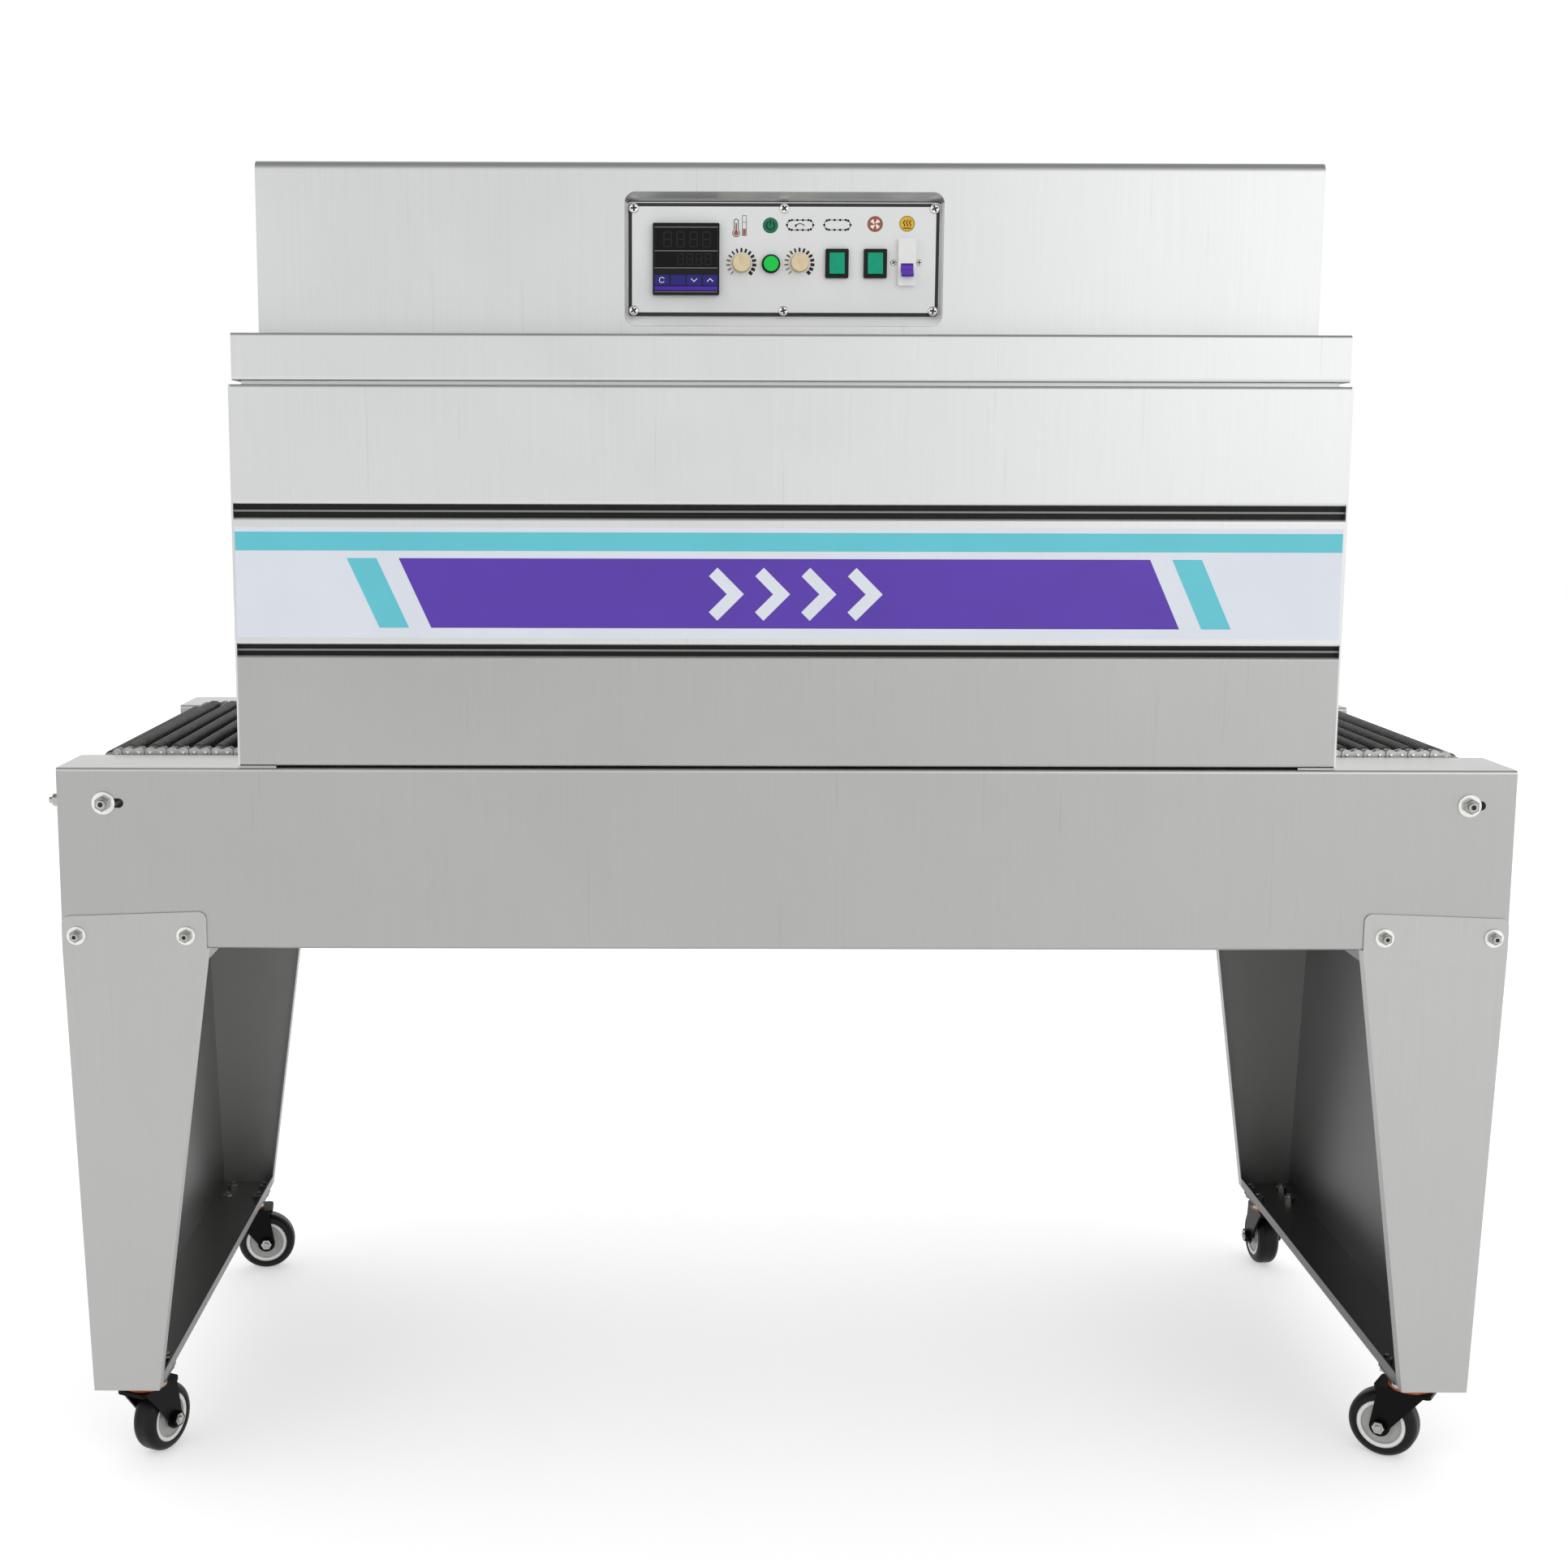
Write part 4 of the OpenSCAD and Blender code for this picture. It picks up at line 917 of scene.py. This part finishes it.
brown_ink = clouded("brown_ink", paint(160, 84, 52), 0.42)
brown_shapes = [
    disc(*fan_at, disc_r),
    shifted(thermometer_at, disc(0, -7, 2.6, 18)),
    shifted(thermometer_at, rectangle(-0.8, -5.6, 0.8, 3.6)),
    shifted(scale_at, rectangle(-1.6, -10, 1.6, -4)),
]
fitted(joined("brown_marks", [mark(shape) for shape in brown_shapes]), "machine", "orange_ring", brown_ink)
green_ink = clouded("green_ink", paint(14, 120, 82), 0.42, shine=0.25)
fitted(joined("power_disc", [mark(disc(*power_at, disc_r))]), "machine", "green_rocker", green_ink)
yellow_ink = clouded("yellow_ink", paint(226, 178, 22), 0.42)
fitted(joined("heat_disc", [mark(disc(*heat_at, disc_r))]), "machine", "cream_plastic", yellow_ink)

overprint = [
    stroke(arc(*place, disc_r - rim_inset, 0, 360, 36), rim_w) for place in (power_at, fan_at, heat_at)
]
overprint.append(stroke(arc(*power_at, 4.4, 120, 420, 22), 1.3))
overprint.append(shifted(power_at, rectangle(-0.6, 0.5, 0.6, 5.9)))
for x in (-3.2, 0, 3.2):
    wave = [(x + 0.8 * math.sin(step * 0.9), step * 0.75 - 2.8) for step in range(10)]
    overprint.append(shifted(heat_at, stroke(wave, 1)))
overprint.append(shifted(heat_at, rectangle(-4.4, -5.2, 4.4, -4.2)))
fitted(joined("dark_overprint", [mark(shape, 1) for shape in overprint]), "machine", "black_plastic", ink)
blades = []
for quarter in range(4):
    start = quarter * 90 + 20
    tip = arc(*fan_at, 5.6, start, start + 44, 6)
    root = arc(*fan_at, 1, start + 78, start + 24, 3)
    blades.append(tip + root)
white_ink = clouded("white_ink", paint(240, 240, 238), 0.4)
fitted(joined("fan_blades", [mark(shape, 1) for shape in blades]), "machine", "white_plastic", white_ink)

# Temperature controller
# A black moulded housing with two unlit displays behind a dark window, a strip of four
# blue keys and a violet strip under them.
face_out, controller_x = 7, -106
pane_t, bar_t, rule_t, key_t = 0.3, 0.06, 0.2, 0.5
window_half, window_rows = 33, ((9.6, 32), (-8, 7.6))
rule_half, rule_w, rule_rows = 34.2, 0.5, (33.3, 8.4, -9.6, -35)
key_x, key_w, key_rows, strip_rows = (-34.2, -16.8, 0.6, 18), 16.2, (-27.7, -16.8), (-33, -28.9)
housing = clouded("housing_black", paint(16, 16, 17), 0.42, 0, 200, 0.2, 0.15, 0.2)
dress(housing, "temperature_controller", "switch_frames")


def on_face(outline, out, thick):
    """Shape on the controller's face, in millimetres from the controller's middle."""
    points = [(panel_x + (x + controller_x) / 1000, panel_z + z / 1000) for x, z in outline]
    return printed("face_shape", points, plate_front - out / 1000, thick / 1000)


display = clouded("display_window", paint(16, 16, 17), 0.2, 0, 60, 0.1, 0.0, 0.12)
windows = [
    on_face(rectangle(-window_half, low, window_half, high), face_out, pane_t) for low, high in window_rows
]
fitted(joined("display_windows", windows), "machine", "black_plastic", display)


def digit(x, z, wide, high, thick):
    """The seven bars of a display digit."""
    half, gap = thick / 2, thick * 0.3
    bars = []
    for level in (z, z + high / 2, z + high):
        bars.append(rectangle(x + gap, level - half, x + wide - gap, level + half))
    for side in (x, x + wide):
        for low in (z, z + high / 2):
            bars.append(rectangle(side - half, low + gap, side + half, low + high / 2 - gap))
    return bars


faint = clouded("unlit_segment", paint(38, 38, 38), 0.35, shine=0.12)
digit_rows = (((-24, -10, 4, 18), 13, 8, 15.4, 1.4), ((-9, 1, 11, 21), -6, 6, 11.4, 1.1))
segments = [bar for places, *size in digit_rows for x in places for bar in digit(x, *size)]
fitted(joined("display_segments", [on_face(shape, face_out + pane_t, bar_t) for shape in segments]),
       "machine", "black_plastic", faint)
pale_line = clouded("pale_line", paint(150, 150, 150), 0.4)
rules = [
    on_face(rectangle(-rule_half, z, rule_half, z + rule_w), face_out, rule_t) for z in rule_rows
]
fitted(joined("display_rules", rules), "machine", "white_plastic", pale_line)
key_blue = clouded("key_blue", paint(42, 40, 122), 0.4, 0, 120, 0.12, 0.1, 0.2)
keys = [
    on_face(rectangle(x, key_rows[0], x + key_w, key_rows[1]), face_out, key_t) for x in key_x
]
fitted(joined("controller_keys", keys), "machine", "violet_plastic", key_blue)
strip = on_face(rectangle(-rule_half, strip_rows[0], rule_half, strip_rows[1]), face_out, pane_t)
fitted(joined("controller_strip", [strip]), "machine", "violet_plastic",
       clouded("strip_violet", paint(82, 44, 176), 0.35, shine=0.2))
key_shapes = [
    stroke([(5.4, -20.7), (8.7, -23.7), (12, -20.7)], 0.8),
    stroke([(22.8, -23.7), (26.1, -20.7), (29.4, -23.7)], 0.8),
    stroke(arc(-26.1, -22.2, 2.8, 30, 330, 16), 0.7),
]
fitted(joined("key_marks", [on_face(shape, face_out + key_t, bar_t) for shape in key_shapes]),
       "machine", "white_plastic", white_ink)

# Knobs, button, rockers and breaker
# Cream ribbed knobs, a green push button, two green rockers in black frames and a small
# white breaker with a violet lever, all moulded.
cream = clouded("knob_cream", paint(224, 206, 166), 0.42, 0, 150, 0.1, 0.1)
dress(cream, "left_knob", "right_knob")
dress(clouded("button_green", paint(0, 206, 74), 0.34, 0, 120, 0.12, shine=0.3), "push_button")
rocker_green = clouded("rocker_green", paint(8, 160, 122), 0.42, 0, 160, 0.14, shine=0.22)
dress(rocker_green, "left_rocker", "right_rocker")
dress(clouded("breaker_white", paint(236, 236, 234), 0.36, 0, 120, 0.05), "breaker_body")
dress(clouded("lever_violet", paint(88, 42, 176), 0.34, 0, 120, 0.12), "breaker_lever")

# Casters
# Black pressed forks swivel under dark plates and heads with orange dust rings. Grey wheel
# centres with a white rim carry solid black tyres. Nuts, axles and bolts are zinc-plated.
dress(clouded("head_black", paint(36, 36, 36), 0.4, 0.3, shine=0.25), "caster_plates")
dress(clouded("ring_orange", paint(186, 98, 40), 0.5), "dust_rings")
fork_black = clouded("fork_black", paint(8, 8, 8), 0.36, 0, 120, 0.3, 0.12, 0.1)
hub_grey = clouded("hub_grey", paint(184, 184, 182), 0.42, 0, 90)
tyre_black = clouded("tyre_black", paint(14, 14, 14), 0.42, 0, 55, 0.8, 0.3, 0.22)
rim_white = clouded("rim_white", paint(254, 254, 252), 0.36, 0, 90, 0.03)
swivel_x, swivel_y, trail, axle_z = 0.740, 0.305, 0.028, 0.040
rim_in, rim_out, rim_y = 0.0236, 0.0288, 0.0128
rim_flatness, rim_segments = 0.55, (56, 10)
head_r, head_y, head_t = 0.0084, 0.0203, 0.0062
head_edge, head_chamfer = 0.8, 0.88
axle_r, axle_out, axle_ease = 0.0042, 0.0024, 0.0008
hex_r, hex_h, hex_ease, shank_r = 0.0074, 0.0056, 0.0008, 0.005
nut_low, nut_high = 0.005, 0.0116
stub_r, stub_tip_r, stub_edge, stub_top = 0.0038, 0.0032, 0.0148, 0.0155
bolt_step, bolt_z, bolt_turn = 0.022, 0.104, 0.3


def rim_ring():
    """White ring that stands a little out of the wheel centre's face, along +Z."""
    bpy.ops.object.select_all(action="DESELECT")
    middle, half = (rim_in + rim_out) / 2, (rim_out - rim_in) / 2
    bpy.ops.mesh.primitive_torus_add(major_radius=middle, minor_radius=half,
                                     major_segments=rim_segments[0], minor_segments=rim_segments[1])
    ring = bpy.context.object
    bpy.ops.object.mode_set(mode="EDIT")
    bpy.ops.mesh.select_all(action="SELECT")
    bpy.ops.transform.resize(value=(1, 1, rim_flatness))
    bpy.ops.object.mode_set(mode="OBJECT")
    return ring


def axle_head():
    """Chamfered nut on the axle, with the axle's rounded end standing out of it, along +Z."""
    edge, end = head_t * head_edge, head_t + axle_out
    nut = turned("axle_nut", [
        (head_r, 0), (head_r, edge), (head_r * head_chamfer, head_t), (axle_r, head_t),
    ], 6)
    stub = turned("axle_end", [(axle_r, edge), (axle_r, end - axle_ease), (axle_r * head_edge, end)], 16)
    return settle(joined("axle_head", [nut, stub]), turn=(0, 0, math.pi / 6))


def plate_bolt():
    """Bolt through a caster plate at Z = 0: a hexagon head under it, a nut and a stub above."""
    head = turned("bolt_head", [
        (hex_r - hex_ease, -hex_h), (hex_r, hex_ease - hex_h), (hex_r, 0), (shank_r, 0),
    ], 6)
    nut = turned("bolt_nut", [
        (hex_r, nut_low), (hex_r, nut_high - hex_ease), (hex_r - hex_ease, nut_high),
        (stub_r, nut_high), (stub_r, stub_edge), (stub_tip_r, stub_top),
    ], 6)
    return joined("plate_bolt", [head, nut])


corners = {
    "front_left": (-1, -1, 65), "front_right": (1, -1, 146),
    "rear_left": (-1, 1, 8), "rear_right": (1, 1, 93),
}
for corner, (side_x, side_y, heading) in corners.items():
    dress(fork_black, corner + "_fork")
    dress(hub_grey, corner + "_hub")
    dress(tyre_black, corner + "_tyre")
    heading = math.radians(heading)
    wheel = Vector((mid_x + side_x * swivel_x + trail * math.cos(heading),
                    side_y * swivel_y + trail * math.sin(heading), axle_z))
    axle = Vector((-math.sin(heading), math.cos(heading), 0))
    rims = copies_of(rim_ring(), [
        (wheel + axle * side * rim_y, (-side * math.pi / 2, 0, heading)) for side in (-1, 1)
    ])
    fitted(joined(corner + "_rims", rims), corner + "_wheel", "white_plastic", rim_white)
    heads = copies_of(axle_head(), [
        (wheel + axle * side * head_y, (-side * math.pi / 2, 0, heading)) for side in (-1, 1)
    ])
    fitted(joined(corner + "_axle_heads", heads), corner + "_caster", "zinc", zinc)

bolt_places = [
    (mid_x + side_x * swivel_x + step_x, side_y * swivel_y + step_y, bolt_z)
    for side_x, side_y, _ in corners.values()
    for step_x in (-bolt_step, bolt_step) for step_y in (-bolt_step, bolt_step)
]
plate_bolts = copies_of(plate_bolt(), [
    (place, (0, 0, bolt_turn * index)) for index, place in enumerate(bolt_places)
])
fitted(joined("caster_bolts", plate_bolts), "machine", "zinc", zinc)
